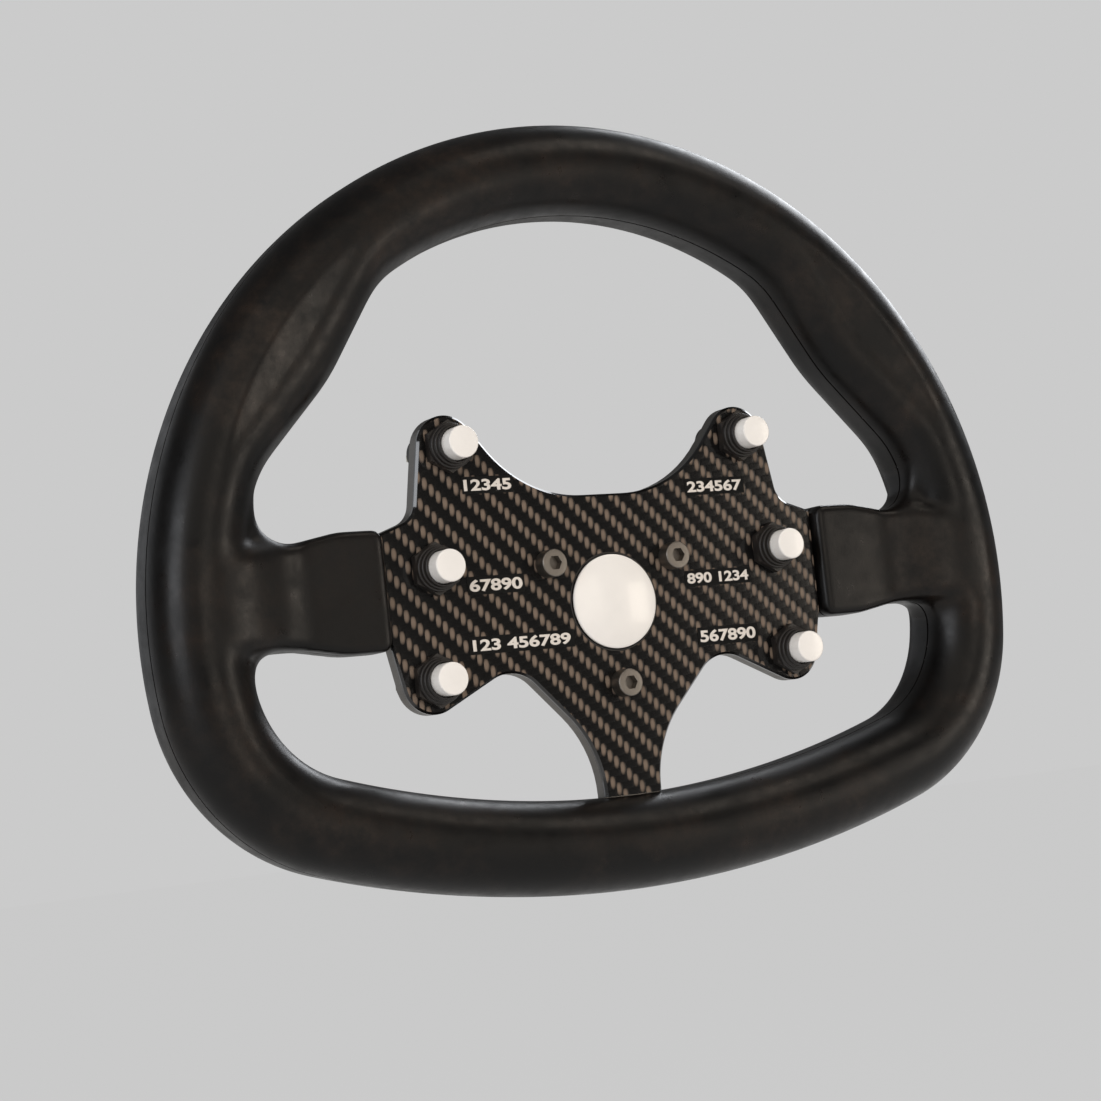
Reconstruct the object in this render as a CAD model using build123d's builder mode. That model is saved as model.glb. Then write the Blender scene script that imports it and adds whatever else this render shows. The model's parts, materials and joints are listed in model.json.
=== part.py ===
from build123d import *
import math
import os

os.makedirs("parts", exist_ok=True)

# A flat-bottomed racing steering wheel with six push buttons and a horn push.
# X points to the driver's right, Z points up, and the wheel's face looks along -Y.
# The origin is on the hub axis, in the rear face of the frame, where the hub bolts on.
# Heights are measured forwards from that rear face, so a height h lies at Y = -h.

# Wheel outline and grip
wheel_radius = 150.0
bottom_radius = 350.0
bottom_drop = 88.2
corner_radius = 62.0
grip_width = 28.5
front_depth = 13.5
front_round = 12.3
rear_depth = 16.5
rear_round = 10.0

# Thumb swells on the inside of the grip: a hump with two flanks, at ten and two o'clock
swell_height = 8.5394
swell_angle = 38.747
upper_flank_angle = 122.5
lower_flank_angle = -46.5
swell_crest_round = 55.0
swell_root_round = 28.0

# Pads that cover the side spokes
pad_end_x = 77.2
pad_top_z = 26.0
pad_bottom_z = -10.0
pad_waist_length = 16.5
pad_waist_top_z = 23.4
pad_waist_bottom_z = -7.5
pad_tip_overlap = 3.25
pad_tip_top_z = 12.7
pad_tip_bottom_z = -4.5
pad_waist_round = 24.0
pad_knee_round = 20.0
pad_corner_round = 3.0
pad_edge_round = 2.0
front_pad_height = 5.0
rear_pad_height = 8.0
ramp_angle = 22.0
ramp_foot_round = 30.0
ramp_crest_round = 45.0

# Frame and button plate
frame_thickness = 4.0
plate_thickness = 1.5
plate_chamfer = 0.7
ring_width = 14.0
side_spoke_width = 24.0
side_spoke_z = 8.0
channel_gap = 0.15
butt_gap = 0.3
rounding_room = 0.98
plate_end_x = 76.6
notch_z = 33.5
notch_round = 40.0
horn_radius = 9.8
inner_flank_angle = 52.0
outer_flank_angle = 99.3
shoulder_z = 25.0
shoulder_angle = -19.5
shoulder_round = 7.0
lower_side_angle = 78.7
lower_side_reach = 10.6
lower_edge_angle = -26.4
lower_edge_reach = 9.4
arch_round = 12.0
neck_x = 20.0
neck_z = -33.6
neck_angle = 46.7
neck_round = 36.0
bottom_spoke_width = 20.0

# Push-button switches: centres on the right side, mirrored to the left
switch_rows = {"upper": (52.02, 49.76), "middle": (60.45, 13.42), "lower": (63.39, -19.58)}
barrel_radius = 6.0
barrel_fit = 0.15
barrel_height = 4.5
nut_across_flats = 14.0
nut_height = 2.5
collar_top = 6.85
collar_radius = 7.0
collar_step = 0.55
collar_round = 0.45
thread_fit = 0.05
cap_radius = 4.875
cap_clearance = 0.3
cap_top = 11.66
cap_foot = 5.0
cap_edge_round = 0.5
button_travel = 2.5
cap_well_gap = 0.5
stem_radius = 1.8
stem_clearance = 0.15
snap_head_radius = 2.3
snap_head_height = 1.0
snap_gap = 0.2
spring_cavity_radius = 4.0
spring_floor_depth = 2.0
floor_thickness = 1.5
switch_chamber_radius = 3.4
chamber_depth = 4.5
switch_depth = 10.5
flange_radius = 7.2
flange_thickness = 1.5
spring_radius = 2.9
spring_wire = 0.5
spring_turns = 5
tag_width = 2.0
tag_thickness = 0.5
tag_length = 6.0
tag_spacing = 5.6

# Horn push in the middle
horn_cap_radius = 14.56
horn_cap_edge = 0.87
horn_dome_rise = 1.9
horn_ring_gap = 0.34
horn_rim_wall = 0.5
horn_flange = 0.4
horn_travel = 0.8
housing_radius = 14.0
housing_wall = 0.8
housing_depth = 8.0
housing_floor = 2.0
lip_depth = 2.0
lip_wall = 1.4
skirt_clearance = 0.3
skirt_wall = 1.4
skirt_bottom = 0.2
bead_height = 1.5
bead_proud = 0.6
horn_stem_radius = 3.0
horn_contact_radius = 4.0
horn_contact_height = 1.5
horn_contact_gap = 0.2
horn_spring_radius = 8.0
horn_spring_wire = 0.8
horn_spring_turns = 4
spring_end_gap = 0.1
locknut_radius = 18.0
locknut_height = 3.0
blade_width = 6.3
blade_thickness = 0.8
blade_length = 8.0
blade_spacing = 10.0

# Screws
hub_circle = 50.8
hub_screw_radius = 2.5
hub_shank_radius = 2.4
hub_hole_gap = 0.2
hub_head_radius = 4.25
hub_head_height = 5.0
hub_head_chamfer = 0.4
hub_key_width = 4.0
hub_key_depth = 2.6
hub_screw_reach = 12.0
grip_screw_radius = 2.0
grip_head_radius = 3.5
grip_head_height = 2.6
grip_head_gap = 0.4
grip_key_width = 2.5
grip_key_depth = 1.4
grip_head_depth = 6.0
grip_screw_bite = 7.0
grip_hole_gap = 0.1
grip_screw_angles = (22.0, 50.0, 78.0)
corner_screw_angle = -42.0
bottom_screw_x = 55.0

# Worked out from the sizes above
plate_face = frame_thickness + plate_thickness
seam_plane = Plane.XZ.offset(frame_thickness)
bottom_centre_z = bottom_radius - bottom_drop
corner_orbit = wheel_radius - corner_radius
bottom_orbit = bottom_radius - corner_radius
corner_z = (corner_orbit**2 - bottom_orbit**2 + bottom_centre_z**2) / (2 * bottom_centre_z)
corner_x = math.sqrt(corner_orbit**2 - corner_z**2)
side_join_angle = math.degrees(math.atan2(corner_z, corner_x))
bottom_join_angle = math.degrees(math.atan2(corner_z - bottom_centre_z, corner_x))
corner_sweep = side_join_angle - bottom_join_angle
band_inset = (grip_width - ring_width) / 2
grip_middle = wheel_radius - grip_width / 2
grip_inside = wheel_radius - grip_width
pad_waist_x = grip_inside - pad_waist_length
pad_tip_x = grip_middle + pad_tip_overlap
plate_bottom_z = grip_width + butt_gap - bottom_drop
housing_rim_radius = horn_cap_radius + horn_ring_gap + horn_rim_wall


def meet(start, start_angle, other, other_angle):
    """Point where two straight lines cross, each given by a point and an angle."""
    ux, uz = math.cos(math.radians(start_angle)), math.sin(math.radians(start_angle))
    vx, vz = math.cos(math.radians(other_angle)), math.sin(math.radians(other_angle))
    dx, dz = other[0] - start[0], other[1] - start[1]
    along = (dx * vz - dz * vx) / (ux * vz - uz * vx)
    return (start[0] + along * ux, start[1] + along * uz)


def beside(centre, reach, angle):
    """Point at a distance from a centre, in the direction of an angle."""
    turn = math.radians(angle)
    return (centre[0] + reach * math.cos(turn), centre[1] + reach * math.sin(turn))


def facing(x, z, height):
    """Plane that looks forwards, at a height above the frame's rear face."""
    return Plane(origin=(x, -height, z), x_dir=(1, 0, 0), z_dir=(0, -1, 0))


def lathe(x, z):
    """Plane for turned profiles: across is the radius, up is the height forwards."""
    return Plane(origin=(x, 0, z), x_dir=(1, 0, 0), z_dir=(0, 0, -1))


def turn_axis(x, z):
    return Axis((x, 0, z), (0, -1, 0))


def fitted(corners):
    """Closed outline's corners, with each rounding limited to the room on its two sides."""
    needs = []
    for i, (point, rounding) in enumerate(corners):
        before, after = corners[i - 1][0], corners[(i + 1) % len(corners)][0]
        first = math.atan2(point[1] - before[1], point[0] - before[0])
        second = math.atan2(after[1] - point[1], after[0] - point[0])
        turn = abs(math.remainder(second - first, 2 * math.pi))
        needs.append(rounding * math.tan(turn / 2))
    roundings = [rounding for point, rounding in corners]
    for i, (point, rounding) in enumerate(corners):
        room = rounding_room * math.dist(corners[i - 1][0], point)
        share = min(1, room / max(room, needs[i - 1] + needs[i]))
        for k in (i - 1, i):
            roundings[k] = min(roundings[k], share * corners[k][1])
    return [(corner[0], rounding) for corner, rounding in zip(corners, roundings)]


def round_corner(sketch, point, radius):
    """Round the sketch corner that lies nearest to a point."""
    corner = sketch.vertices().sort_by_distance((point[0], point[1], 0))[0]
    fillet(corner, radius=radius)


def turned(points, roundings=()):
    """Profile of a turned piece from its corners, with some of them rounded."""
    with BuildSketch() as profile:
        with BuildLine():
            Polyline(*points, close=True)
        make_face()
        for point, radius in roundings:
            round_corner(profile, point, radius)
    return profile.sketch_local


def d_outline(inset):
    """The wheel's outline, a circle with a flatter bottom arc, moved inwards by inset."""
    bottom_start = -180 - bottom_join_angle
    bottom_sweep = 180 + 2 * bottom_join_angle
    with BuildSketch() as outline:
        with BuildLine():
            CenterArc((0, 0), wheel_radius - inset, side_join_angle, 180 - 2 * side_join_angle)
            CenterArc((-corner_x, corner_z), corner_radius - inset, 180 - side_join_angle, corner_sweep)
            CenterArc((0, bottom_centre_z), bottom_radius - inset, bottom_start, bottom_sweep)
            CenterArc((corner_x, corner_z), corner_radius - inset, bottom_join_angle, corner_sweep)
        make_face()
    return outline.sketch_local


def swell_corners():
    """Upper root, crest and lower root of a thumb swell on the grip's inner edge."""
    crest_x, crest_z = beside((0, 0), grip_inside - swell_height, swell_angle)
    roots = []
    for angle in (upper_flank_angle, lower_flank_angle):
        ux, uz = math.cos(math.radians(angle)), math.sin(math.radians(angle))
        half = crest_x * ux + crest_z * uz
        along = -half + math.sqrt(half**2 - crest_x**2 - crest_z**2 + grip_inside**2)
        roots.append((crest_x + along * ux, crest_z + along * uz))
    return roots[0], (crest_x, crest_z), roots[1]


def ring_section():
    """Plan of the grip without its pads."""
    upper_root, crest, lower_root = swell_corners()
    middle = beside((0, 0), grip_middle, swell_angle)
    with BuildSketch() as opening:
        add(d_outline(grip_width))
        for side in (1, -1):
            corners = [(side * x, z) for x, z in (upper_root, crest, lower_root, middle)]
            add(turned(corners), mode=Mode.SUBTRACT)
        for side in (1, -1):
            round_corner(opening, (side * crest[0], crest[1]), swell_crest_round)
            round_corner(opening, (side * upper_root[0], upper_root[1]), swell_root_round)
            round_corner(opening, (side * lower_root[0], lower_root[1]), swell_root_round)
    with BuildSketch() as ring:
        add(d_outline(0))
        add(opening.sketch_local, mode=Mode.SUBTRACT)
    return ring.sketch_local


def butterfly_corners():
    """Right-hand corners of the frame's middle, each with its rounding."""
    upper = switch_rows["upper"]
    lower = switch_rows["lower"]
    inner_flank = beside(upper, horn_radius, inner_flank_angle + 90)
    outer_flank = beside(upper, horn_radius, outer_flank_angle - 90)
    lower_side = beside(lower, lower_side_reach, lower_side_angle - 90)
    lower_edge = beside(lower, lower_edge_reach, lower_edge_angle - 90)
    shoulder = (plate_end_x, shoulder_z)
    neck = (neck_x, neck_z)
    half_spoke = bottom_spoke_width / 2
    return [
        (meet((0, notch_z), 0, inner_flank, inner_flank_angle), notch_round),
        (meet(inner_flank, inner_flank_angle, outer_flank, outer_flank_angle), horn_radius),
        (meet(outer_flank, outer_flank_angle, shoulder, shoulder_angle), shoulder_round),
        (shoulder, 0),
        (meet(lower_side, lower_side_angle, shoulder, 90), 0),
        (meet(lower_side, lower_side_angle, lower_edge, lower_edge_angle), horn_radius),
        (meet(lower_edge, lower_edge_angle, neck, neck_angle), arch_round),
        (meet(neck, neck_angle, (half_spoke, 0), 90), neck_round),
        ((half_spoke, plate_bottom_z), 0),
    ]


def butterfly():
    """The outline that the middle of the frame and the button plate share."""
    right = butterfly_corners()
    corners = right + [((-x, z), rounding) for (x, z), rounding in reversed(right)]
    with BuildSketch() as outline:
        with BuildLine():
            Polyline(*[point for point, rounding in corners], close=True)
        make_face()
        for (x, z), rounding in fitted(corners)[:len(right)]:
            if rounding:
                round_corner(outline, (x, z), rounding)
                round_corner(outline, (-x, z), rounding)
    return outline.sketch_local


def skeleton(gap):
    """Ring and spokes of the frame inside the grip, grown all round by a gap."""
    spoke_start = plate_end_x - gap
    spoke_end = wheel_radius - band_inset - ring_width / 2
    foot = bottom_drop - band_inset - ring_width / 2
    neck_length = foot + neck_z
    with BuildSketch() as bones:
        add(d_outline(band_inset - gap))
        add(d_outline(band_inset + ring_width + gap), mode=Mode.SUBTRACT)
        for side in (1, -1):
            with Locations((side * (spoke_start + spoke_end) / 2, side_spoke_z)):
                Rectangle(spoke_end - spoke_start, side_spoke_width + 2 * gap)
        with Locations((0, -foot + neck_length / 2)):
            Rectangle(bottom_spoke_width + 2 * gap, neck_length)
    return bones.sketch_local


def both_sides(points):
    return list(points) + [(-x, z) for x, z in points]


def switch_places():
    """Name and centre of each push button, right side first."""
    places = {}
    for side, sign in (("right", 1), ("left", -1)):
        for row, (x, z) in switch_rows.items():
            places[f"{row}_{side}"] = (sign * x, z)
    return places


def grip_screw_places():
    """Centres of the screws that hold the grip halves together."""
    places = [beside((0, 0), grip_middle, angle) for angle in grip_screw_angles]
    corner_middle = corner_radius - grip_width / 2
    places.append(beside((corner_x, corner_z), corner_middle, corner_screw_angle))
    bottom_middle = bottom_radius - grip_width / 2
    bottom_z = bottom_centre_z - math.sqrt(bottom_middle**2 - bottom_screw_x**2)
    places.append((bottom_screw_x, bottom_z))
    return both_sides(places)


def hub_places():
    return [beside((0, 0), hub_circle / 2, angle) for angle in (30, 150, 270)]


def planes_at(places, height):
    """Forward-facing planes at several places, all at one height."""
    return [facing(x, z, height) for x, z in places]


def finish(piece, name):
    """Label a piece and write it to its own file."""
    piece.part.label = name
    export_step(piece.part, f"parts/{name}.step")


def pad(direction, height, depth):
    """Right-hand spoke pad: flat by the plate, then a ramp up to the crest of the rim."""
    ramp_run = (depth - height) / math.tan(math.radians(ramp_angle))
    crest_reach = ramp_crest_round * math.tan(math.radians(ramp_angle / 2))
    ramp_top = (grip_middle - crest_reach, -frame_thickness - direction * depth)
    ramp_foot = (ramp_top[0] - ramp_run, -frame_thickness - direction * height)
    shoulder_x = (pad_end_x + pad_waist_x) / 2
    upper_edge = [
        ((pad_end_x, pad_top_z), pad_corner_round),
        ((shoulder_x, pad_top_z), pad_waist_round),
        ((pad_waist_x, pad_waist_top_z), pad_waist_round),
        ((grip_inside, pad_waist_top_z), pad_knee_round),
        ((pad_tip_x, pad_tip_top_z), 0),
    ]
    lower_edge = [
        ((pad_tip_x, pad_tip_bottom_z), 0),
        ((grip_inside, pad_waist_bottom_z), pad_knee_round),
        ((pad_waist_x, pad_waist_bottom_z), pad_waist_round),
        ((shoulder_x, pad_bottom_z), pad_waist_round),
        ((pad_end_x, pad_bottom_z), pad_corner_round),
    ]
    corners = fitted(upper_edge + lower_edge)
    with BuildPart() as block:
        with BuildSketch(seam_plane) as plan:
            with BuildLine():
                Polyline(*[point for point, rounding in corners], close=True)
            make_face()
            for point, rounding in corners[:5] + corners[:4:-1]:
                if rounding:
                    round_corner(plan, point, rounding)
        extrude(amount=direction * depth)
        with BuildSketch(Plane.XY.offset(pad_bottom_z - 1)) as profile:
            with BuildLine():
                Polyline(
                    (pad_end_x - 1, -frame_thickness),
                    (pad_end_x - 1, ramp_foot[1]),
                    ramp_foot,
                    ramp_top,
                    (pad_tip_x + 1, ramp_top[1]),
                    (pad_tip_x + 1, -frame_thickness),
                    close=True,
                )
            make_face()
            round_corner(profile, ramp_foot, ramp_foot_round)
            round_corner(profile, ramp_top, ramp_crest_round)
        extrude(amount=pad_top_z - pad_bottom_z + 2, mode=Mode.INTERSECT)
        outer_faces = block.faces().filter_by(lambda face: direction * face.normal_at().Y < -0.5)
        rim_edges = [edge for face in outer_faces for edge in face.edges()]
        border = [edge for edge in rim_edges if rim_edges.count(edge) == 1]
        border = [edge for edge in border if edge.center().X < pad_tip_x - 0.01]
        fillet(border, radius=pad_edge_round)
    return block.part


def grip_half(direction, depth, edge_round, pad_height):
    """One half of the moulded grip, from the parting plane out to its front or its rear."""
    side_pad = pad(direction, pad_height, depth)
    with BuildPart() as half:
        with BuildSketch(seam_plane):
            add(ring_section())
        extrude(amount=direction * depth)
        outer_face = half.faces().sort_by(Axis.Y, reverse=direction < 0)[0]
        fillet(outer_face.edges(), radius=edge_round)
        add([side_pad, side_pad.mirror(Plane.YZ)])
    return half.part


# Frame: one aluminium plate with the ring, three spokes and the butterfly middle
with BuildPart() as frame:
    with BuildSketch(Plane.XZ):
        add(butterfly())
        add(skeleton(0))
        with Locations(*switch_places().values()):
            Circle(barrel_radius + barrel_fit, mode=Mode.SUBTRACT)
        with Locations(*hub_places()):
            Circle(hub_screw_radius + hub_hole_gap, mode=Mode.SUBTRACT)
        with Locations(*grip_screw_places()):
            Circle(grip_screw_radius + grip_hole_gap, mode=Mode.SUBTRACT)
        Circle(housing_radius + barrel_fit, mode=Mode.SUBTRACT)
    extrude(amount=frame_thickness)
finish(frame, "frame")

# Button plate: carbon sheet with a polished chamfer, laid on the front of the frame
with BuildPart() as button_plate:
    with BuildSketch(Plane.XZ.offset(frame_thickness)):
        add(butterfly())
    extrude(amount=plate_thickness)
    front_face = button_plate.faces().sort_by(Axis.Y)[0]
    open_edges = front_face.edges().filter_by(
        lambda edge: abs(edge.center().X) < plate_end_x - 0.1 and edge.center().Z > plate_bottom_z + 0.1
    )
    chamfer(open_edges, length=plate_chamfer)
    with BuildSketch(Plane.XZ.offset(frame_thickness)):
        with Locations(*switch_places().values()):
            Circle(barrel_radius + barrel_fit)
        with Locations(*hub_places()):
            Circle(hub_screw_radius + hub_hole_gap)
        Circle(housing_rim_radius + thread_fit)
    extrude(amount=plate_thickness, mode=Mode.SUBTRACT)
finish(button_plate, "button_plate")

# Grip: a front and a rear half that meet in a parting line round the whole rim
with BuildPart() as front_grip:
    add(grip_half(1, front_depth, front_round, front_pad_height))
    with BuildSketch(seam_plane):
        with Locations(*grip_screw_places()):
            Circle(grip_screw_radius + thread_fit)
    extrude(amount=grip_screw_bite + butt_gap, mode=Mode.SUBTRACT)
finish(front_grip, "front_grip")

with BuildPart() as rear_grip:
    add(grip_half(-1, rear_depth, rear_round, rear_pad_height))
    with BuildSketch(seam_plane):
        add(skeleton(channel_gap))
    extrude(amount=-frame_thickness, mode=Mode.SUBTRACT)
    with BuildSketch(seam_plane):
        with Locations(*grip_screw_places()):
            Circle(grip_screw_radius + grip_hole_gap)
    extrude(amount=-rear_depth, mode=Mode.SUBTRACT)
    with BuildSketch(seam_plane.offset(-rear_depth)):
        with Locations(*grip_screw_places()):
            Circle(grip_head_radius + grip_head_gap)
    extrude(amount=grip_head_depth, mode=Mode.SUBTRACT)
finish(rear_grip, "rear_grip")

# Screws that hold the grip halves together, sunk in the rear half
screw_seat = frame_thickness - rear_depth + grip_head_depth
grip_screw_tip = frame_thickness + grip_screw_bite
with BuildPart() as grip_screws:
    with BuildSketch(*planes_at(grip_screw_places(), screw_seat)):
        Circle(grip_head_radius)
    extrude(amount=-grip_head_height)
    fillet(grip_screws.faces().sort_by(Axis.Y)[-10:].edges(), radius=grip_head_height / 2)
    with BuildSketch(*planes_at(grip_screw_places(), screw_seat - grip_head_height)):
        RegularPolygon(grip_key_width / 2, 6, major_radius=False)
    extrude(amount=grip_key_depth, mode=Mode.SUBTRACT)
    with BuildSketch(*planes_at(grip_screw_places(), screw_seat)):
        Circle(grip_screw_radius)
    extrude(amount=grip_screw_tip - screw_seat)
finish(grip_screws, "grip_screws")

# Three socket-head screws that fix the wheel to the hub
with BuildPart() as hub_screws:
    with BuildSketch(*planes_at(hub_places(), plate_face)):
        Circle(hub_head_radius)
    extrude(amount=hub_head_height)
    chamfer(hub_screws.faces().sort_by(Axis.Y)[:3].edges(), length=hub_head_chamfer)
    with BuildSketch(*planes_at(hub_places(), plate_face + hub_head_height)):
        RegularPolygon(hub_key_width / 2, 6, major_radius=False)
    extrude(amount=-hub_key_depth, mode=Mode.SUBTRACT)
    with BuildSketch(*planes_at(hub_places(), plate_face)):
        Circle(hub_shank_radius)
    extrude(amount=-plate_face)
    with BuildSketch(*planes_at(hub_places(), 0)):
        Circle(hub_screw_radius)
    extrude(amount=-hub_screw_reach)
finish(hub_screws, "hub_screws")


# Heights inside a push-button switch
barrel_top = plate_face + barrel_height
nut_top = plate_face + nut_height
collar_end = plate_face + collar_top
cap_bottom = plate_face + cap_foot
cap_end = plate_face + cap_top
cap_bore = cap_radius + cap_clearance
well_bottom = cap_bottom - button_travel - cap_well_gap
floor_bottom = -spring_floor_depth - floor_thickness
chamber_bottom = floor_bottom - chamber_depth


def switch_body(x, z):
    """Barrel, flange and closed rear of a switch, turned in one piece."""
    with BuildPart() as body:
        with BuildSketch(lathe(x, z)):
            add(turned([
                (cap_bore, barrel_top),
                (barrel_radius, barrel_top),
                (barrel_radius, 0),
                (flange_radius, 0),
                (flange_radius, -flange_thickness),
                (barrel_radius, -flange_thickness),
                (barrel_radius, -switch_depth),
                (0, -switch_depth),
                (0, chamber_bottom),
                (switch_chamber_radius, chamber_bottom),
                (switch_chamber_radius, floor_bottom),
                (stem_radius + stem_clearance, floor_bottom),
                (stem_radius + stem_clearance, -spring_floor_depth),
                (spring_cavity_radius, -spring_floor_depth),
                (spring_cavity_radius, well_bottom),
                (cap_bore, well_bottom),
            ]))
        revolve(axis=turn_axis(x, z))
    return body


def switch_nut(x, z):
    """Hexagon nut with turned corners, points up and down."""
    corner = nut_across_flats / 2 / math.cos(math.radians(30))
    bore = barrel_radius + thread_fit
    with BuildPart() as nut:
        with BuildSketch(facing(x, z, plate_face)):
            RegularPolygon(nut_across_flats / 2, 6, major_radius=False, rotation=30)
        extrude(amount=nut_height)
        with BuildSketch(lathe(x, z)):
            add(turned([
                (bore, plate_face),
                (corner, plate_face),
                (corner, nut_top - (corner - nut_across_flats / 2) / 2),
                (nut_across_flats / 2, nut_top),
                (bore, nut_top),
            ]))
        revolve(axis=turn_axis(x, z), mode=Mode.INTERSECT)
    return nut


def switch_collar(x, z):
    """Stepped round collar that is screwed on the barrel and guides the cap."""
    bore = barrel_radius + thread_fit
    step_height = (collar_end - nut_top) / 3
    steps = []
    for step in range(3):
        radius = collar_radius - step * collar_step
        steps.append((radius, nut_top + step * step_height))
        steps.append((radius, nut_top + (step + 1) * step_height))
    with BuildPart() as collar:
        with BuildSketch(lathe(x, z)):
            add(turned([
                (bore, nut_top),
                *steps,
                (cap_bore, collar_end),
                (cap_bore, barrel_top + thread_fit),
                (bore, barrel_top + thread_fit),
            ], [(steps[index], collar_round) for index in (1, 3, 5)]))
        revolve(axis=turn_axis(x, z))
    return collar


def switch_cap(x, z):
    """White cap with its stem and the snap head that holds it in the switch."""
    head_top = floor_bottom - snap_gap
    with BuildPart() as cap:
        with BuildSketch(lathe(x, z)):
            add(turned([
                (0, cap_end),
                (cap_radius, cap_end),
                (cap_radius, cap_bottom),
                (stem_radius, cap_bottom),
                (stem_radius, head_top),
                (snap_head_radius, head_top),
                (snap_head_radius, head_top - snap_head_height),
                (0, head_top - snap_head_height),
            ], [((cap_radius, cap_end), cap_edge_round)]))
        revolve(axis=turn_axis(x, z))
    return cap


def coil_spring(x, z, low, high, radius, wire, turns):
    """Compression spring between two heights; its wire has eight sides, so it stays light."""
    length = high - low - wire - 2 * spring_end_gap
    start = (x, -low - wire / 2 - spring_end_gap, z)
    with BuildPart() as spring:
        with BuildLine() as path:
            Helix(pitch=length / turns, height=length, radius=radius, center=start, direction=(0, -1, 0))
        with BuildSketch(Plane(origin=path.line @ 0, z_dir=path.line % 0)):
            RegularPolygon(wire / 2, 8)
        sweep(is_frenet=True)
    return spring


def contact_tags(x, z, depth, width, thickness, length, spacing):
    """Pair of flat terminals behind a switch, each with its wire hole."""
    with BuildPart() as tags:
        with BuildSketch(facing(x, z, -depth)):
            with Locations((spacing / 2, 0), (-spacing / 2, 0)):
                Rectangle(thickness, width)
        extrude(amount=-length)
        with BuildSketch(Plane(origin=(x, depth + length - width, z), z_dir=(1, 0, 0))):
            Circle(width / 4)
        extrude(amount=spacing, both=True, mode=Mode.SUBTRACT)
    return tags


spring_size = (spring_radius, spring_wire, spring_turns)
tag_size = (tag_width, tag_thickness, tag_length, tag_spacing)
for place, (x, z) in switch_places().items():
    finish(switch_body(x, z), f"{place}_switch")
    finish(switch_nut(x, z), f"{place}_nut")
    finish(switch_collar(x, z), f"{place}_collar")
    finish(switch_cap(x, z), f"{place}_cap")
    finish(coil_spring(x, z, -spring_floor_depth, cap_bottom, *spring_size), f"{place}_spring")
    finish(contact_tags(x, z, switch_depth, *tag_size), f"{place}_tags")

# Horn push: heights of its housing and cap
lip_bottom = frame_thickness - lip_depth
housing_bore = housing_radius - lip_wall
relief_radius = housing_radius - housing_wall
housing_floor_top = housing_floor - housing_depth
skirt_radius = housing_bore - skirt_clearance
contact_top = housing_floor_top + horn_contact_height

with BuildPart() as horn_housing:
    with BuildSketch(lathe(0, 0)):
        add(turned([
            (housing_rim_radius - horn_rim_wall, plate_face),
            (housing_rim_radius, plate_face),
            (housing_rim_radius, frame_thickness),
            (housing_radius, frame_thickness),
            (housing_radius, -housing_depth),
            (0, -housing_depth),
            (0, housing_floor_top),
            (relief_radius, housing_floor_top),
            (relief_radius, lip_bottom),
            (housing_bore, lip_bottom),
            (housing_bore, frame_thickness + horn_flange),
            (housing_rim_radius - horn_rim_wall, frame_thickness + horn_flange),
        ]))
    revolve(axis=turn_axis(0, 0))
finish(horn_housing, "horn_housing")

with BuildPart() as horn_cap:
    dome_edge = plate_face + horn_cap_edge
    with BuildSketch(lathe(0, 0)) as dome:
        with BuildLine():
            apex = (0, dome_edge + horn_dome_rise)
            dome_radius = (horn_cap_radius**2 + horn_dome_rise**2) / (2 * horn_dome_rise)
            RadiusArc(apex, (horn_cap_radius, dome_edge), dome_radius)
            Polyline(
                apex,
                (0, contact_top + horn_contact_gap + horn_travel),
                (horn_stem_radius, contact_top + horn_contact_gap + horn_travel),
                (horn_stem_radius, plate_face),
                (skirt_radius - skirt_wall, plate_face),
                (skirt_radius - skirt_wall, skirt_bottom),
                (skirt_radius + bead_proud, skirt_bottom),
                (skirt_radius + bead_proud, skirt_bottom + bead_height),
                (skirt_radius, skirt_bottom + bead_height),
                (skirt_radius, plate_face),
                (horn_cap_radius, plate_face),
                (horn_cap_radius, dome_edge),
            )
        make_face()
    revolve(axis=turn_axis(0, 0))
finish(horn_cap, "horn_cap")

with BuildPart() as horn_contact:
    with BuildSketch(facing(0, 0, housing_floor_top)):
        Circle(horn_contact_radius)
    extrude(amount=horn_contact_height)
finish(horn_contact, "horn_contact")

horn_spring = coil_spring(
    0, 0, housing_floor_top, plate_face, horn_spring_radius, horn_spring_wire, horn_spring_turns
)
finish(horn_spring, "horn_spring")

with BuildPart() as horn_locknut:
    with BuildSketch(Plane.XZ):
        Circle(locknut_radius)
        Circle(housing_radius + thread_fit, mode=Mode.SUBTRACT)
        with PolarLocations(locknut_radius, 6):
            Rectangle(2.4, 3, mode=Mode.SUBTRACT)
    extrude(amount=-locknut_height)
finish(horn_locknut, "horn_locknut")

horn_blades = contact_tags(0, 0, housing_depth, blade_width, blade_thickness, blade_length, blade_spacing)
finish(horn_blades, "horn_blades")
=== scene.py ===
import json
import math
from functools import partial

import bmesh
import bpy
from bpy.props import FloatProperty, FloatVectorProperty, IntProperty, PointerProperty
from bpy.types import Node, NodeSocket, Operator, Panel, PropertyGroup
from mathutils import Matrix, Vector


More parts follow.
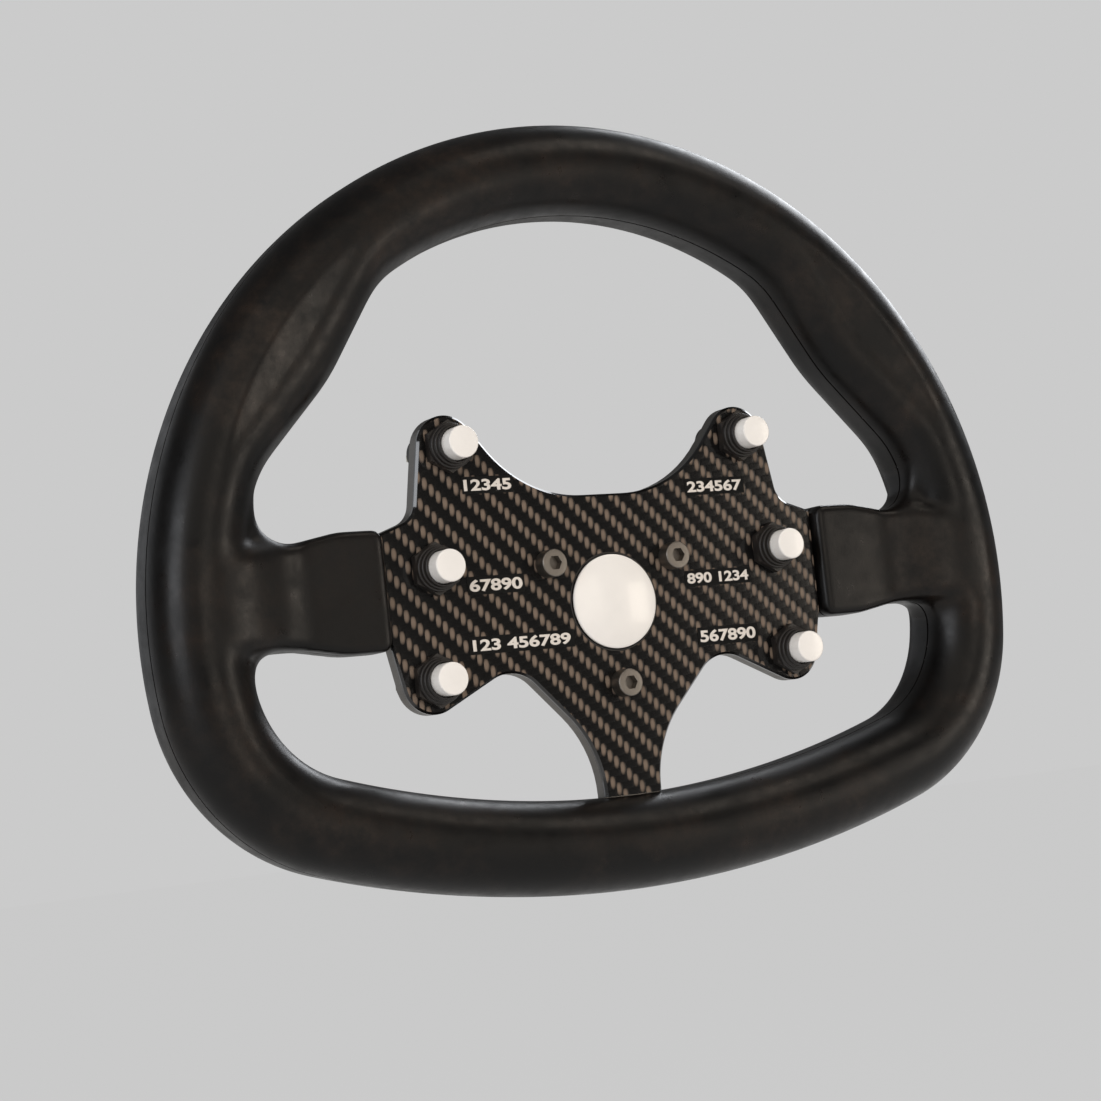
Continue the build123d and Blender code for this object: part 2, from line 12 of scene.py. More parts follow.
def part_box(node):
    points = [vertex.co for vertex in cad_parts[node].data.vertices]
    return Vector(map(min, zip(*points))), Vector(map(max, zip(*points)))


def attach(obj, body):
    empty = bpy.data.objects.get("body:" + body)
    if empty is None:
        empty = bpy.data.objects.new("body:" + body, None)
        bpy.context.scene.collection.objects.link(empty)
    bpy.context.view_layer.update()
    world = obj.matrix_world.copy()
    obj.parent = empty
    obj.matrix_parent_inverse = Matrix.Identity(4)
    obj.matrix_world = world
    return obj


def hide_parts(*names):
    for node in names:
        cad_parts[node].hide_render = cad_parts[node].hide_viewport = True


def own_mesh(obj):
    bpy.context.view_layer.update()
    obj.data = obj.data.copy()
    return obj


bl_info = {
    "name": "Racing steering wheel",
    "version": (1, 0, 0),
    "blender": (4, 5, 0),
    "location": "3D View > Sidebar > Wheel",
    "description": "Dresses a flat-bottomed racing wheel: moulded grip, carbon plate, pushes and screws",
    "category": "Object",
}

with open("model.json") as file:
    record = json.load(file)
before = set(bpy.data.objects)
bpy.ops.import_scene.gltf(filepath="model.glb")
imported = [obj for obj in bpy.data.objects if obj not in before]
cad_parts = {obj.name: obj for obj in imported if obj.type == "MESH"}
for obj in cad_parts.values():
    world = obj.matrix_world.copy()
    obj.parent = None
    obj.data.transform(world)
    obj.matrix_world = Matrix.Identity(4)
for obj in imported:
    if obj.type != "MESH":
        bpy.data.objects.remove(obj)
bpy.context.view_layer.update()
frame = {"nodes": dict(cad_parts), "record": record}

MM = 0.001
# Heights are measured forwards from the rear face of the frame, as in the model's source
FRAME_FRONT = 4.0
PLATE_FACE = 5.5
NUT_HEIGHT = 2.5
COLLAR_END = 12.35
CAP_FACE = PLATE_FACE + 11.66
SIDES = {"right": 1, "left": -1}
SWITCH_ROWS = {"upper": (52.02, 49.76), "middle": (60.45, 13.42), "lower": (63.39, -19.58)}
SCREW_SEAT = -6.5
HUB_CIRCLE = 25.4
HUB_ANGLES = (30, 150, 270)
RIM_RADIUS, BOTTOM_RADIUS, CORNER_RADIUS = 150.0, 350.0, 62.0
BOTTOM_DROP = 88.2
GRIP_WIDTH = 28.5
RIM_INSIDE = RIM_RADIUS - GRIP_WIDTH
PLATE_HALF_WIDTH, PLATE_FOOT = 76.6, -59.4


def linear(code):
    """Turns an sRGB hex colour into linear values."""
    parts = [int(code[i:i + 2], 16) / 255 for i in (1, 3, 5)]
    return [c / 12.92 if c <= 0.04045 else ((c + 0.055) / 1.055) ** 2.4 for c in parts]


def colour(title, code, note):
    return FloatVectorProperty(
        name=title, description=note, subtype="COLOR", size=3, min=0, max=1, default=linear(code))


def length(title, size, note):
    return FloatProperty(name=title, description=note, default=size * MM, unit="LENGTH", precision=5)


def number(title, count, note, least=2):
    return IntProperty(name=title, description=note, default=count, min=least)


class GripSettings(PropertyGroup):
    outline_radius: length("Outline radius", RIM_RADIUS, "Radius of the round part of the rim")
    bottom_radius: length("Bottom radius", BOTTOM_RADIUS, "Radius of the flatter arc at the bottom")
    bottom_drop: length("Bottom drop", BOTTOM_DROP, "Depth of the rim's lowest point under the hub axis")
    corner_radius: length("Corner radius", CORNER_RADIUS, "Radius of the two lower corners")
    width: length("Grip width", GRIP_WIDTH, "Width of the grip seen from the front")
    front_depth: length("Front depth", 13.5, "Depth of the front half from the parting line")
    rear_depth: length("Rear depth", 16.5, "Depth of the rear half from the parting line")
    front_round: length("Front rounding", 13.9, "Radius of the grip's front edges")
    rear_round: length("Rear rounding", 10.0, "Radius of the grip's rear edges")
    seam_half: length("Half seam", 0.45, "Half the width of the parting line's groove")
    remesh_size: length("Skin size", 0.85, "Size of the quads in the grip's skin")
    grain_size: length("Grain size", 0.45, "Size of the mould's fine grain, drawn coarse enough to show")
    black: colour("Grip black", "#090808", "Colour of the moulded polyurethane")
    # the worn black is partly real wear and partly a painted warm sheen on the rim's front face
    worn: colour("Worn black", "#2e251f", "Colour where hands have polished it")


class PlateSettings(PropertyGroup):
    tow_width: length("Tow width", 2.05, "Width of one tow of the carbon twill")
    chamfer: length("Polished edge", 0.7, "Width of the polished chamfer")
    # the lit tows' colour is a highlight painted on the upright tows, not the carbon's own colour
    warp_lit: colour("Lit tows", "#7d6d60", "Colour of the tows that run up and down")
    weft_dark: colour("Dark tows", "#0b0a0a", "Colour of the tows that run across")
    alloy: colour("Frame alloy", "#7f7c78", "Colour of the cut aluminium")


class SwitchSettings(PropertyGroup):
    nut_width: length("Nut width", 14.0, "Width of the switch nuts across their flats")
    nut_height: length("Nut height", NUT_HEIGHT, "Height of the switch nuts")
    collar_radius: length("Collar radius", 7.0, "Radius of the collar's lowest step")
    collar_step: length("Collar step", 0.55, "How far each step of the collar stands back")
    cap_radius: length("Cap radius", 4.875, "Radius of the white push caps")
    cap_edge: length("Cap edge", 0.5, "Rounding of the cap's front edge")
    cap_white: colour("Cap white", "#f3efeb", "Colour of the caps and the horn push")
    body_black: colour("Switch black", "#1e1a18", "Colour of nuts, collars and switch bodies")
    spring_wire: length("Spring wire", 0.5, "Thickness of the wire in a button's return spring")
    spring_turns: number("Spring turns", 5, "Turns of a button's return spring")
    horn_wire: length("Horn spring wire", 0.8, "Thickness of the wire in the horn's return spring")
    horn_turns: number("Horn turns", 4, "Turns of the horn's return spring")


class ScrewSettings(PropertyGroup):
    hub_head_radius: length("Hub screw head", 4.25, "Radius of the heads round the hub")
    hub_socket: length("Hub socket", 4.0, "Width across flats of the hub screws' sockets")
    grip_head_radius: length("Grip screw head", 3.5, "Radius of the heads in the rear half")
    grip_socket: length("Grip socket", 2.5, "Width across flats of the grip screws' sockets")
    segments: number("Segments", 64, "Sides of each turned shape", 16)
    steel: colour("Stainless steel", "#8d8780", "Colour of the socket-head screws")


class StageSettings(PropertyGroup):
    backdrop: colour("Backdrop", "#cbcbcb", "Colour behind the wheel")
    warm: colour("Warm light", "#fff3e4", "Colour of the light from the front")
    cool: colour("Cool light", "#f2f5fa", "Colour of the light from the sides and behind")
    focal_pixels: FloatProperty(
        name="Focal length", description="Focal length in pixels of the square picture", default=2349.56)
    picture_pixels: number("Picture width", 1101, "Width of the square picture in pixels")


def settings(group):
    return getattr(bpy.context.scene, "wheel_" + group)


# Shapes: outlines and meshes

def spot(x, height, z):
    """Place on the wheel in metres, from millimetres across, forwards and up."""
    return Vector((x, -height, z)) * MM


def switch_places():
    """Places of the six switches, by name."""
    return {
        f"{row}_{side}": (sign * x, z)
        for side, sign in SIDES.items() for row, (x, z) in SWITCH_ROWS.items()}


def beside(centre, reach, angle):
    turn = math.radians(angle)
    return (centre[0] + reach * math.cos(turn), centre[1] + reach * math.sin(turn))


def hub_places():
    return [beside((0, 0), HUB_CIRCLE, angle) for angle in HUB_ANGLES]


def arc(centre, radius, first, last, count=6):
    return [beside(centre, radius, first + (last - first) * k / count) for k in range(count + 1)]


def ring(centre, radius, count=72):
    return arc(centre, radius, 0, 360, count)[:-1]


def meet(start, angle, other, other_angle):
    """Crossing of two straight lines, each given by a point and an angle."""
    ux, uz = beside((0, 0), 1, angle)
    vx, vz = beside((0, 0), 1, other_angle)
    dx, dz = other[0] - start[0], other[1] - start[1]
    along = (dx * vz - dz * vx) / (ux * vz - uz * vx)
    return (start[0] + along * ux, start[1] + along * uz)


def rounded(corners, step=3.0):
    """Closed outline through (point, radius) corners, each arc cut in steps of a few degrees."""
    points = []
    for i, (corner, radius) in enumerate(corners):
        if not radius:
            points.append(corner)
            continue
        here = Vector(corner)
        back = (Vector(corners[i - 1][0]) - here).normalized()
        ahead = (Vector(corners[(i + 1) % len(corners)][0]) - here).normalized()
        half = back.angle(ahead) / 2
        centre = here + (back + ahead).normalized() * radius / math.sin(half)
        start = here + back * radius / math.tan(half) - centre
        sweep = math.pi - 2 * half
        if back.x * ahead.y - back.y * ahead.x > 0:
            sweep = -sweep
        count = max(2, round(abs(math.degrees(sweep)) / step))
        for k in range(count + 1):
            c, s = math.cos(sweep * k / count), math.sin(sweep * k / count)
            points.append((centre.x + start.x * c - start.y * s, centre.y + start.x * s + start.y * c))
    return points


def inset(points, depth, keep_x, keep_z):
    """Moves an outline inwards, apart from its straight edges at keep_x and keep_z."""
    runs = list(zip(points, points[1:] + points[:1]))
    sign = 1 if sum(a[0] * b[1] - b[0] * a[1] for a, b in runs) > 0 else -1
    rules = []
    for a, b in runs:
        run = math.hypot(b[0] - a[0], b[1] - a[1])
        normal = (-(b[1] - a[1]) / run * sign, (b[0] - a[0]) / run * sign)
        kept = abs(abs(a[0] + b[0]) / 2 - keep_x) < 0.01 or abs((a[1] + b[1]) / 2 - keep_z) < 0.01
        rules.append((normal, 0.0 if kept else depth))
    moved = []
    for i, (x, z) in enumerate(points):
        (n, d), (m, e) = rules[i - 1], rules[i]
        cross = n[0] * m[1] - n[1] * m[0]
        if abs(cross) < 0.2:
            moved.append((x + n[0] * (d + e) / 2, z + n[1] * (d + e) / 2))
        else:
            moved.append((x + (d * m[1] - e * n[1]) / cross, z + (e * n[0] - d * m[0]) / cross))
    return moved


def link(name, data):
    piece = bpy.data.objects.new(name, data)
    bpy.context.scene.collection.objects.link(piece)
    return piece


def mesh_from(name, points, faces=(), edges=()):
    mesh = bpy.data.meshes.new(name)
    mesh.from_pydata([tuple(p) for p in points], list(edges), list(faces))
    mesh.update()
    return mesh


def places_mesh(name, places, height):
    return mesh_from(name, [spot(x, height, z) for x, z in places])


def piece_from(name, shell, turn_out=True):
    """Makes a shell an object of its own, with its faces turned outwards."""
    if turn_out:
        bmesh.ops.recalc_face_normals(shell, faces=shell.faces)
    mesh = bpy.data.meshes.new(name)
    shell.to_mesh(mesh)
    shell.free()
    return link(name, mesh)


def joined(name, meshes):
    """One object from several meshes."""
    shell = bmesh.new()
    for mesh in meshes:
        shell.from_mesh(mesh)
    return piece_from(name, shell, False)


def outward(piece):
    """Merges a mesh's doubles and turns its faces outwards."""
    shell = bmesh.new()
    shell.from_mesh(piece.data)
    bmesh.ops.remove_doubles(shell, verts=shell.verts, dist=1e-7)
    bmesh.ops.recalc_face_normals(shell, faces=shell.faces)
    shell.to_mesh(piece.data)
    shell.free()


def loop_at(shell, outline, height):
    return [shell.verts.new(spot(x, height, z)) for x, z in outline]


def band(shell, lower, upper):
    """Wall of quads between two closed loops."""
    ahead = [(i, (i + 1) % len(lower)) for i in range(len(lower))]
    return [shell.faces.new((lower[i], lower[j], upper[j], upper[i])) for i, j in ahead]


def slab(shell, outline, low, high):
    """Closed slab over an outline, between two heights."""
    rear, front = loop_at(shell, outline, low), loop_at(shell, outline, high)
    band(shell, rear, front)
    shell.faces.new(front)
    shell.faces.new(rear[::-1])


def smooth_by_angle(piece, degrees=32):
    """Shades a piece smooth, with sharp edges where it bends more than an angle."""
    piece.data.shade_smooth()
    piece.data.set_sharp_from_angle(angle=math.radians(degrees))


def final_mesh(piece):
    graph = bpy.context.evaluated_depsgraph_get()
    return bpy.data.meshes.new_from_object(piece.evaluated_get(graph))


def apply_modifiers(piece):
    """Replaces a piece's mesh by what its modifiers make of it."""
    shaped = final_mesh(piece)
    piece.modifiers.clear()
    piece.data = shaped


def dress(piece, finish, body, nodes=()):
    """Gives a piece its material and body, and hides the nodes that it stands for."""
    piece.data.materials.clear()
    piece.data.materials.append(finish_of(finish))
    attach(piece, body)
    if nodes:
        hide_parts(*nodes)


# Node trees: a kind stands without its prefix and before its operation, and a node for its first output

SHARED_KINDS = ("Math", "VectorMath", "Mix", "MapRange", "CombineXYZ", "SeparateXYZ")


def feed(tree, node, feeds):
    """Sets inputs, by name or in order, to values, sockets or the first outputs of nodes."""
    for key, value in feeds.items() if isinstance(feeds, dict) else enumerate(feeds):
        source = value.outputs[0] if isinstance(value, Node) else value
        if isinstance(source, NodeSocket):
            tree.links.new(source, node.inputs[key])
        else:
            node.inputs[key].default_value = source


def add_node(tree, kind, feeds=(), **options):
    """Adds a node with its operation, its options and what feeds it."""
    kind, *operation = kind.split()
    own = tree.type == "GEOMETRY" and kind not in SHARED_KINDS
    node = tree.nodes.new(("GeometryNode" if own else "ShaderNode") + kind)
    for name, value in [("operation", word) for word in operation] + list(options.items()):
        setattr(node, name, value)
    feed(tree, node, feeds)
    return node


def new_tree(name, **inputs):
    """Starts a geometry tree; returns it, its add() and its input sockets by name."""
    tree = bpy.data.node_groups.new(name, "GeometryNodeTree")
    for title, kind in {"geometry": "Geometry", **inputs}.items():
        tree.interface.new_socket(
            title.replace("_", " ").capitalize(), in_out="INPUT", socket_type="NodeSocket" + kind)
    tree.interface.new_socket("Geometry", in_out="OUTPUT", socket_type="NodeSocketGeometry")
    return tree, partial(add_node, tree), tree.nodes.new("NodeGroupInput").outputs


def grow(name, mesh, tree, values):
    """Runs a geometry tree over a mesh and keeps the result as a plain object."""
    piece = link(name, mesh)
    modifier = piece.modifiers.new(tree.name, "NODES")
    modifier.node_group = tree
    for item in tree.interface.items_tree:
        if item.item_type == "SOCKET" and item.in_out == "INPUT" and item.name in values:
            modifier[item.identifier] = values[item.name]
    apply_modifiers(piece)
    return piece


def place_and_finish(tree, add, size, shape):
    """Ends a tree: turns the shape to face forwards and copies it to every place."""
    facing = add("Transform", {"Geometry": shape, "Rotation": (math.pi / 2, 0, 0)})
    copies = add("InstanceOnPoints", {"Points": size["Geometry"], "Instance": facing})
    real = add("RealizeInstances", [copies])
    painted = add("SetMaterial", {"Geometry": real, "Material": size["Material"]})
    feed(tree, tree.nodes.new("NodeGroupOutput"), [painted])
    return tree


def revolve(add, size):
    """Turns the Profile object's outline round the upright axis; a curve's right side is its outside."""
    line = add("MeshToCurve", [add("ObjectInfo", {"Object": size["Profile"]}).outputs["Geometry"]])
    path = add("CurvePrimitiveCircle", {"Resolution": size["Segments"], "Radius": MM})
    upright = add("SetCurveNormal", {"Curve": path}, mode="Z_UP")
    skin = add("CurveToMesh", {"Curve": upright, "Profile Curve": line})
    return add("MergeByDistance", {"Geometry": skin, "Distance": 1e-6})


def turned_tree():
    """Tree that turns a profile round its axis and sets the piece at each place."""
    tree, add, size = new_tree("Turned pieces", profile="Object", segments="Int", material="Material")
    return place_and_finish(tree, add, size, revolve(add, size))


def turned_pieces(name, profile, places, finish, segments=64, tree=None, values=()):
    """Turned pieces from one profile of (radius, height) points, one at each place."""
    # the profile is drawn for a path of one millimetre, and an open one ends on the axis
    points = [((r - 1) * MM, -h * MM, 0) for r, h in profile]
    edges = [(i, i + 1) for i in range(len(points) - 1)]
    if profile[0][0] > 0:
        edges.append((len(points) - 1, 0))
    outline = link(name + "_profile", mesh_from(name + "_profile", points, edges=edges))
    tree = tree or bpy.data.node_groups.get("Turned pieces") or turned_tree()
    piece = grow(name, places_mesh(name, places, 0.0), tree, {
        "Profile": outline, "Segments": segments, "Material": finish_of(finish), **dict(values)})
    bpy.data.objects.remove(outline)
    outward(piece)
    smooth_by_angle(piece)
    return piece


def nut_tree():
    """Tree for hexagon nuts with turned corners, points up and down."""
    tree, add, size = new_tree(
        "Hexagon nuts", across_flats="Float", height="Float", bore="Float", segments="Int",
        material="Material")
    corner = add("Math MULTIPLY", [size["Across flats"], 1 / math.sqrt(3)])
    flat = add("Math MULTIPLY", [size["Across flats"], 0.5])
    hexagon = add("MeshCylinder", {"Vertices": 6, "Radius": corner, "Depth": size["Height"]})
    half = add("Math MULTIPLY", [size["Height"], 0.5])
    lift = add("CombineXYZ", {"Z": half})
    upright = add("Transform", {"Geometry": hexagon, "Translation": lift, "Rotation": (0, 0, math.pi / 6)})
    # a cone of thirty degrees takes the corners off, as on a lathe
    top = add("Math ADD", [flat, 0.15 * MM])
    foot = add("Math MULTIPLY_ADD", [size["Height"], math.sqrt(3), top])
    cone = add("MeshCone", {
        "Vertices": size["Segments"], "Radius Top": top, "Radius Bottom": foot, "Depth": size["Height"]})
    trimmed = add("MeshBoolean INTERSECT", {"Mesh 2": upright})
    feed(tree, trimmed, {"Mesh 2": cone})
    drill = add("MeshCylinder", {"Vertices": size["Segments"], "Radius": size["Bore"], "Depth": 20 * MM})
    bored = add("MeshBoolean DIFFERENCE", {"Mesh 1": trimmed, "Mesh 2": drill})
    return place_and_finish(tree, add, size, bored)


def screw_tree():
    """Tree for socket-head screws: a turned head and shank with a hexagon socket pressed in."""
    tree, add, size = new_tree(
        "Socket screws", profile="Object", segments="Int", material="Material", socket_width="Float",
        socket_depth="Float", top="Float")
    corner = add("Math MULTIPLY", [size["Socket width"], 1 / math.sqrt(3)])
    deep = add("Math MULTIPLY", [size["Socket depth"], 2.0])
    key = add("MeshCylinder", {"Vertices": 6, "Radius": corner, "Depth": deep})
    socket = add("Transform", {"Geometry": key, "Translation": add("CombineXYZ", {"Z": size["Top"]})})
    pressed = add("MeshBoolean DIFFERENCE", {"Mesh 1": revolve(add, size), "Mesh 2": socket})
    return place_and_finish(tree, add, size, pressed)


def spring_tree():
    """Tree for a coil spring wound up the middle line from each place."""
    tree, add, size = new_tree(
        "Coil springs", radius="Float", wire="Float", rise="Float", turns="Int", material="Material")
    coil = add("CurveSpiral", {
        "Resolution": 32, "Rotations": size["Turns"], "Start Radius": size["Radius"],
        "End Radius": size["Radius"], "Height": size["Rise"]})
    half = add("Math MULTIPLY", [size["Wire"], 0.5])
    section = add("CurvePrimitiveCircle", {"Resolution": 12, "Radius": half})
    wire = add("CurveToMesh", {"Curve": coil, "Profile Curve": section, "Fill Caps": True})
    return place_and_finish(tree, add, size, wire)


def rim_tree():
    """Tree that sweeps the grip's section round the wheel and pushes its inner side out at the swells."""
    tree, add, size = new_tree(
        "Rim sweep", width="Float", front_depth="Float", rear_depth="Float", front_rounding="Float",
        rear_rounding="Float", spacing="Float")
    path = add("MeshToCurve", [size["Geometry"]])
    upright = add("SetCurveNormal", {"Curve": path}, mode="Z_UP")
    half = add("Math MULTIPLY", [size["Width"], 0.5])
    inner = add("Math MULTIPLY", [half, -1.0])
    front_side = add("Math MULTIPLY", [size["Front depth"], -1.0])
    rear_side = size["Rear depth"]
    corners = ((inner, rear_side), (half, rear_side), (half, front_side), (inner, front_side))
    box = add("CurvePrimitiveQuadrilateral", {
        f"Point {i}": add("CombineXYZ", {"X": x, "Y": y}) for i, (x, y) in enumerate(corners, 1)
    }, mode="POINTS")
    front = add("Math GREATER_THAN", [add("InputIndex"), 1.5])
    radius = add("Mix", {0: front, 2: size["Rear rounding"], 3: size["Front rounding"]}, data_type="FLOAT")
    section = add("FilletCurve", {"Curve": box, "Count": 16, "Radius": radius}, mode="POLY")
    even = add("ResampleCurve", {"Curve": section, "Length": size["Spacing"]}, mode="LENGTH")
    flat = add("SeparateXYZ", [add("InputPosition")]).outputs
    # only the flat of the crown grows at a swell, so the round inner side moves in as it is
    share = add("MapRange", {"Value": flat["X"], "From Min": 0.3 * MM, "From Max": -0.3 * MM})
    before = add("MapRange", {"Value": flat["Y"], "From Max": front_side})
    sunk = add("Math MULTIPLY", [share, before])
    marked = add("StoreNamedAttribute", {"Geometry": even, "Name": "share", "Value": share})
    lowered = add("StoreNamedAttribute", {"Geometry": marked, "Name": "sunk", "Value": sunk})
    skin = add("CurveToMesh", {"Curve": upright, "Profile Curve": lowered})
    inward = add("InputNamedAttribute", {"Name": "inward"}, data_type="FLOAT_VECTOR")
    swell, side, sink = [
        add("InputNamedAttribute", {"Name": name}, data_type="FLOAT") for name in ("swell", "share", "sunk")]
    amount = add("Math MULTIPLY", [swell, side])
    push = add("VectorMath SCALE", {0: inward, "Scale": amount})
    # the swell's front face leans in to the middle of the wheel, for the thumb
    lean = add("Math MULTIPLY", [swell, sink])
    drop = add("Math MULTIPLY", [lean, -0.3])
    offset = add("VectorMath ADD", [push, add("CombineXYZ", {"Z": drop})])
    swelled = add("SetPosition", {"Geometry": skin, "Offset": offset})
    facing = add("Transform", {"Geometry": swelled, "Rotation": (math.pi / 2, 0, 0)})
    feed(tree, tree.nodes.new("NodeGroupOutput"), [facing])
    return tree


# Materials

def opaque(rgb, share=1.0):
    return (*(c * share for c in rgb), 1.0)


def start_material(name):
    """Starts a material; returns it, its add(), a call that feeds its shader, and object coordinates."""
    material = bpy.data.materials.new(name)
    material.use_nodes = True
    tree = material.node_tree
    add = partial(add_node, tree)
    paint = partial(feed, tree, tree.nodes["Principled BSDF"])
    return material, add, paint, add("TexCoord").outputs["Object"]


def moulded_polyurethane(name, black, worn, grain):
    """Soft integral-skin polyurethane: satin black, fine mould grain, polished where hands rub, with a brown
    that is partly wear and partly a painted warm sheen on the front face.
    """
    material, add, paint, place = start_material(name)
    patches = add("TexNoise", {"Vector": place, "Scale": 1 / (34 * MM), "Detail": 5.0, "Roughness": 0.62})
    rubbed = add("MapRange", {"Value": patches, "From Min": 0.42, "From Max": 0.66})
    mottled = add("TexNoise", {"Vector": place, "Scale": 1 / (7 * MM), "Detail": 6.0, "Roughness": 0.7})
    spots = add("MapRange", {"Value": mottled, "From Min": 0.34, "From Max": 0.68})
    # hands rub the crown of the rim most, so its front face is the most worn; the brown laid there is also a
    # painted warm sheen
    height = add("SeparateXYZ", [place]).outputs["Y"]
    crown_wear_and_sheen = add("MapRange", {"Value": height, "From Min": -9 * MM, "From Max": -17 * MM, "To Min": 0.25})
    handled = add("Math MULTIPLY", [rubbed, crown_wear_and_sheen])
    wear_and_sheen = add("Math MULTIPLY", [handled, spots])
    # the worn brown, partly real wear and partly a painted warm sheen, goes where this mask is high
    tone = add("Mix", {0: wear_and_sheen, 6: opaque(black), 7: opaque(worn)}, data_type="RGBA")
    polish = add("MapRange", {"Value": spots, "To Min": 0.42, "To Max": 0.26})
    pebble = add("TexVoronoi", {"Vector": place, "Scale": 1 / grain}, feature="SMOOTH_F1")
    dust = add("TexNoise", {"Vector": place, "Scale": 1 / (grain * 0.6), "Detail": 2.0})
    surface = add("Math ADD", [pebble, dust])
    bump = add("Bump", {"Strength": 0.35, "Distance": 0.03 * MM, "Height": surface})
    paint({"IOR": 1.5, "Specular IOR Level": 0.26, "Base Color": tone.outputs[2], "Roughness": polish,
           "Normal": bump})
    return material


def carbon_twill(name, painted_highlight, dark, tow):
    """Two-by-two carbon twill under a polished clear coat, with a highlight painted into the colour of the
    upright tows.
    """
    material, add, paint, place = start_material(name)
    axis = add("SeparateXYZ", [place]).outputs
    across = add("Math DIVIDE", [axis["X"], tow])
    up = add("Math DIVIDE", [axis["Z"], tow])
    # a tow lies on top for two crossings out of four, one crossing lower in each next lane
    tows = []
    for own, other, middle in ((across, up, 1.0), (up, across, 3.0)):
        lane = add("Math FLOOR", [own])
        slide = add("Math ADD", [lane, other])
        turn = add("Math FLOORED_MODULO", [slide, 4.0])
        along = add("Math SUBTRACT", [turn, middle])
        within = add("Math FRACT", [own])
        side = add("Math MULTIPLY_ADD", [within, 2.0, -1.0])
        tows.append((turn, along, side))
    (turn, along, side), (_, along_over, side_over) = tows
    on_top = add("Math LESS_THAN", [turn, 2.0])
    run = add("Mix", {0: on_top, 2: along_over, 3: along}, data_type="FLOAT")
    flank = add("Mix", {0: on_top, 2: side_over, 3: side}, data_type="FLOAT")
    # each float is a pillow, high in its middle; a highlight is painted on its upper left flank, fading to
    # the right and down
    end_fall = add("Math POWER", [run, 4.0])
    far = add("Math ABSOLUTE", [flank])
    side_fall = add("Math POWER", [far, 3.0])
    fall = add("Math ADD", [end_fall, side_fall])
    pillow = add("Math SUBTRACT", [1.0, fall], use_clamp=True)
    from_top = add("Math SUBTRACT", [run, 0.1])
    tall = add("Math POWER", [from_top, 2.0])
    from_left = add("Math ADD", [flank, 0.25])
    wide = add("Math POWER", [from_left, 2.0])
    away = add("Math MULTIPLY_ADD", [tall, 0.95, wide])
    stretch = add("Mapping", {"Vector": place, "Scale": (1.0, 1.0, 0.06)})
    fibres = add("TexNoise", {"Vector": stretch, "Scale": 1 / (0.22 * MM), "Detail": 2.0})
    streak = add("MapRange", {
        "Value": fibres, "From Min": 0.3, "From Max": 0.7, "To Min": 0.78, "To Max": 1.1})
    glow = add("MapRange", {"Value": away, "From Max": 1.25, "To Min": 1.0, "To Max": 0.0},
               interpolation_type="SMOOTHSTEP")
    highlight_share = add("Math MULTIPLY", [glow, on_top])
    streaked_highlight = add("Math MULTIPLY", [highlight_share, streak], use_clamp=True)
    # the upright tows take the painted highlight colour, streaked along their fibres; the tows across keep
    # the carbon's own dark
    tone = add("Mix", {0: streaked_highlight, 6: opaque(dark), 7: opaque(painted_highlight)}, data_type="RGBA")
    bump = add("Bump", {"Strength": 0.5, "Distance": 0.06 * MM, "Height": pillow})
    paint({"Roughness": 0.22, "Specular IOR Level": 0.2, "Coat Weight": 0.35, "Coat Roughness": 0.08,
           "Coat IOR": 1.5, "Base Color": tone.outputs[2], "Normal": bump})
    return material


def milled_aluminium(name, tint):
    """Aluminium plate, routed to shape: satin, with fine cutter marks along its walls."""
    material, add, paint, place = start_material(name)
    stretch = add("Mapping", {"Vector": place, "Scale": (1.0, 0.05, 1.0)})
    marks = add("TexNoise", {"Vector": stretch, "Scale": 1 / (0.5 * MM), "Detail": 3.0})
    cloud = add("TexNoise", {"Vector": place, "Scale": 1 / (22 * MM), "Detail": 4.0})
    tone = add("Mix", {0: cloud, 6: opaque(tint, 0.8), 7: opaque(tint)}, data_type="RGBA")
    satin = add("MapRange", {"Value": marks, "To Min": 0.36, "To Max": 0.5})
    bump = add("Bump", {"Strength": 0.25, "Distance": 0.02 * MM, "Height": marks})
    paint({"Metallic": 1.0, "Base Color": tone.outputs[2], "Roughness": satin, "Normal": bump})
    return material


def moulded_plastic(name, rgb, rough, coat=0.0):
    """Injection-moulded plastic: even colour, slight flow marks and a fine spark-eroded skin."""
    material, add, paint, place = start_material(name)
    flow = add("TexNoise", {"Vector": place, "Scale": 1 / (5 * MM), "Detail": 4.0})
    tone = add("Mix", {0: flow, 6: opaque(rgb, 0.94), 7: opaque(rgb)}, data_type="RGBA")
    sheen = add("MapRange", {"Value": flow, "To Min": rough * 0.96, "To Max": rough * 1.05})
    skin = add("TexNoise", {"Vector": place, "Scale": 1 / (0.3 * MM), "Detail": 1.0})
    bump = add("Bump", {"Strength": 0.12, "Distance": 0.01 * MM, "Height": skin})
    paint({"IOR": 1.53, "Coat Weight": coat, "Coat Roughness": 0.06, "Base Color": tone.outputs[2],
           "Roughness": sheen, "Normal": bump})
    return material


def turned_metal(name, rgb, rough):
    """Turned and tumbled metal: bright, with fine scratches that break its reflections."""
    material, add, paint, place = start_material(name)
    scratches = add("TexNoise", {"Vector": place, "Scale": 1 / (0.35 * MM), "Detail": 4.0, "Roughness": 0.7})
    handled = add("TexNoise", {"Vector": place, "Scale": 1 / (3 * MM), "Detail": 3.0})
    tone = add("Mix", {0: handled, 6: opaque(rgb, 0.72), 7: opaque(rgb)}, data_type="RGBA")
    gloss = add("MapRange", {"Value": scratches, "To Min": rough * 0.7, "To Max": rough * 1.35})
    bump = add("Bump", {"Strength": 0.2, "Distance": 0.01 * MM, "Height": scratches})
    paint({"Metallic": 1.0, "Base Color": tone.outputs[2], "Roughness": gloss, "Normal": bump})
    return material


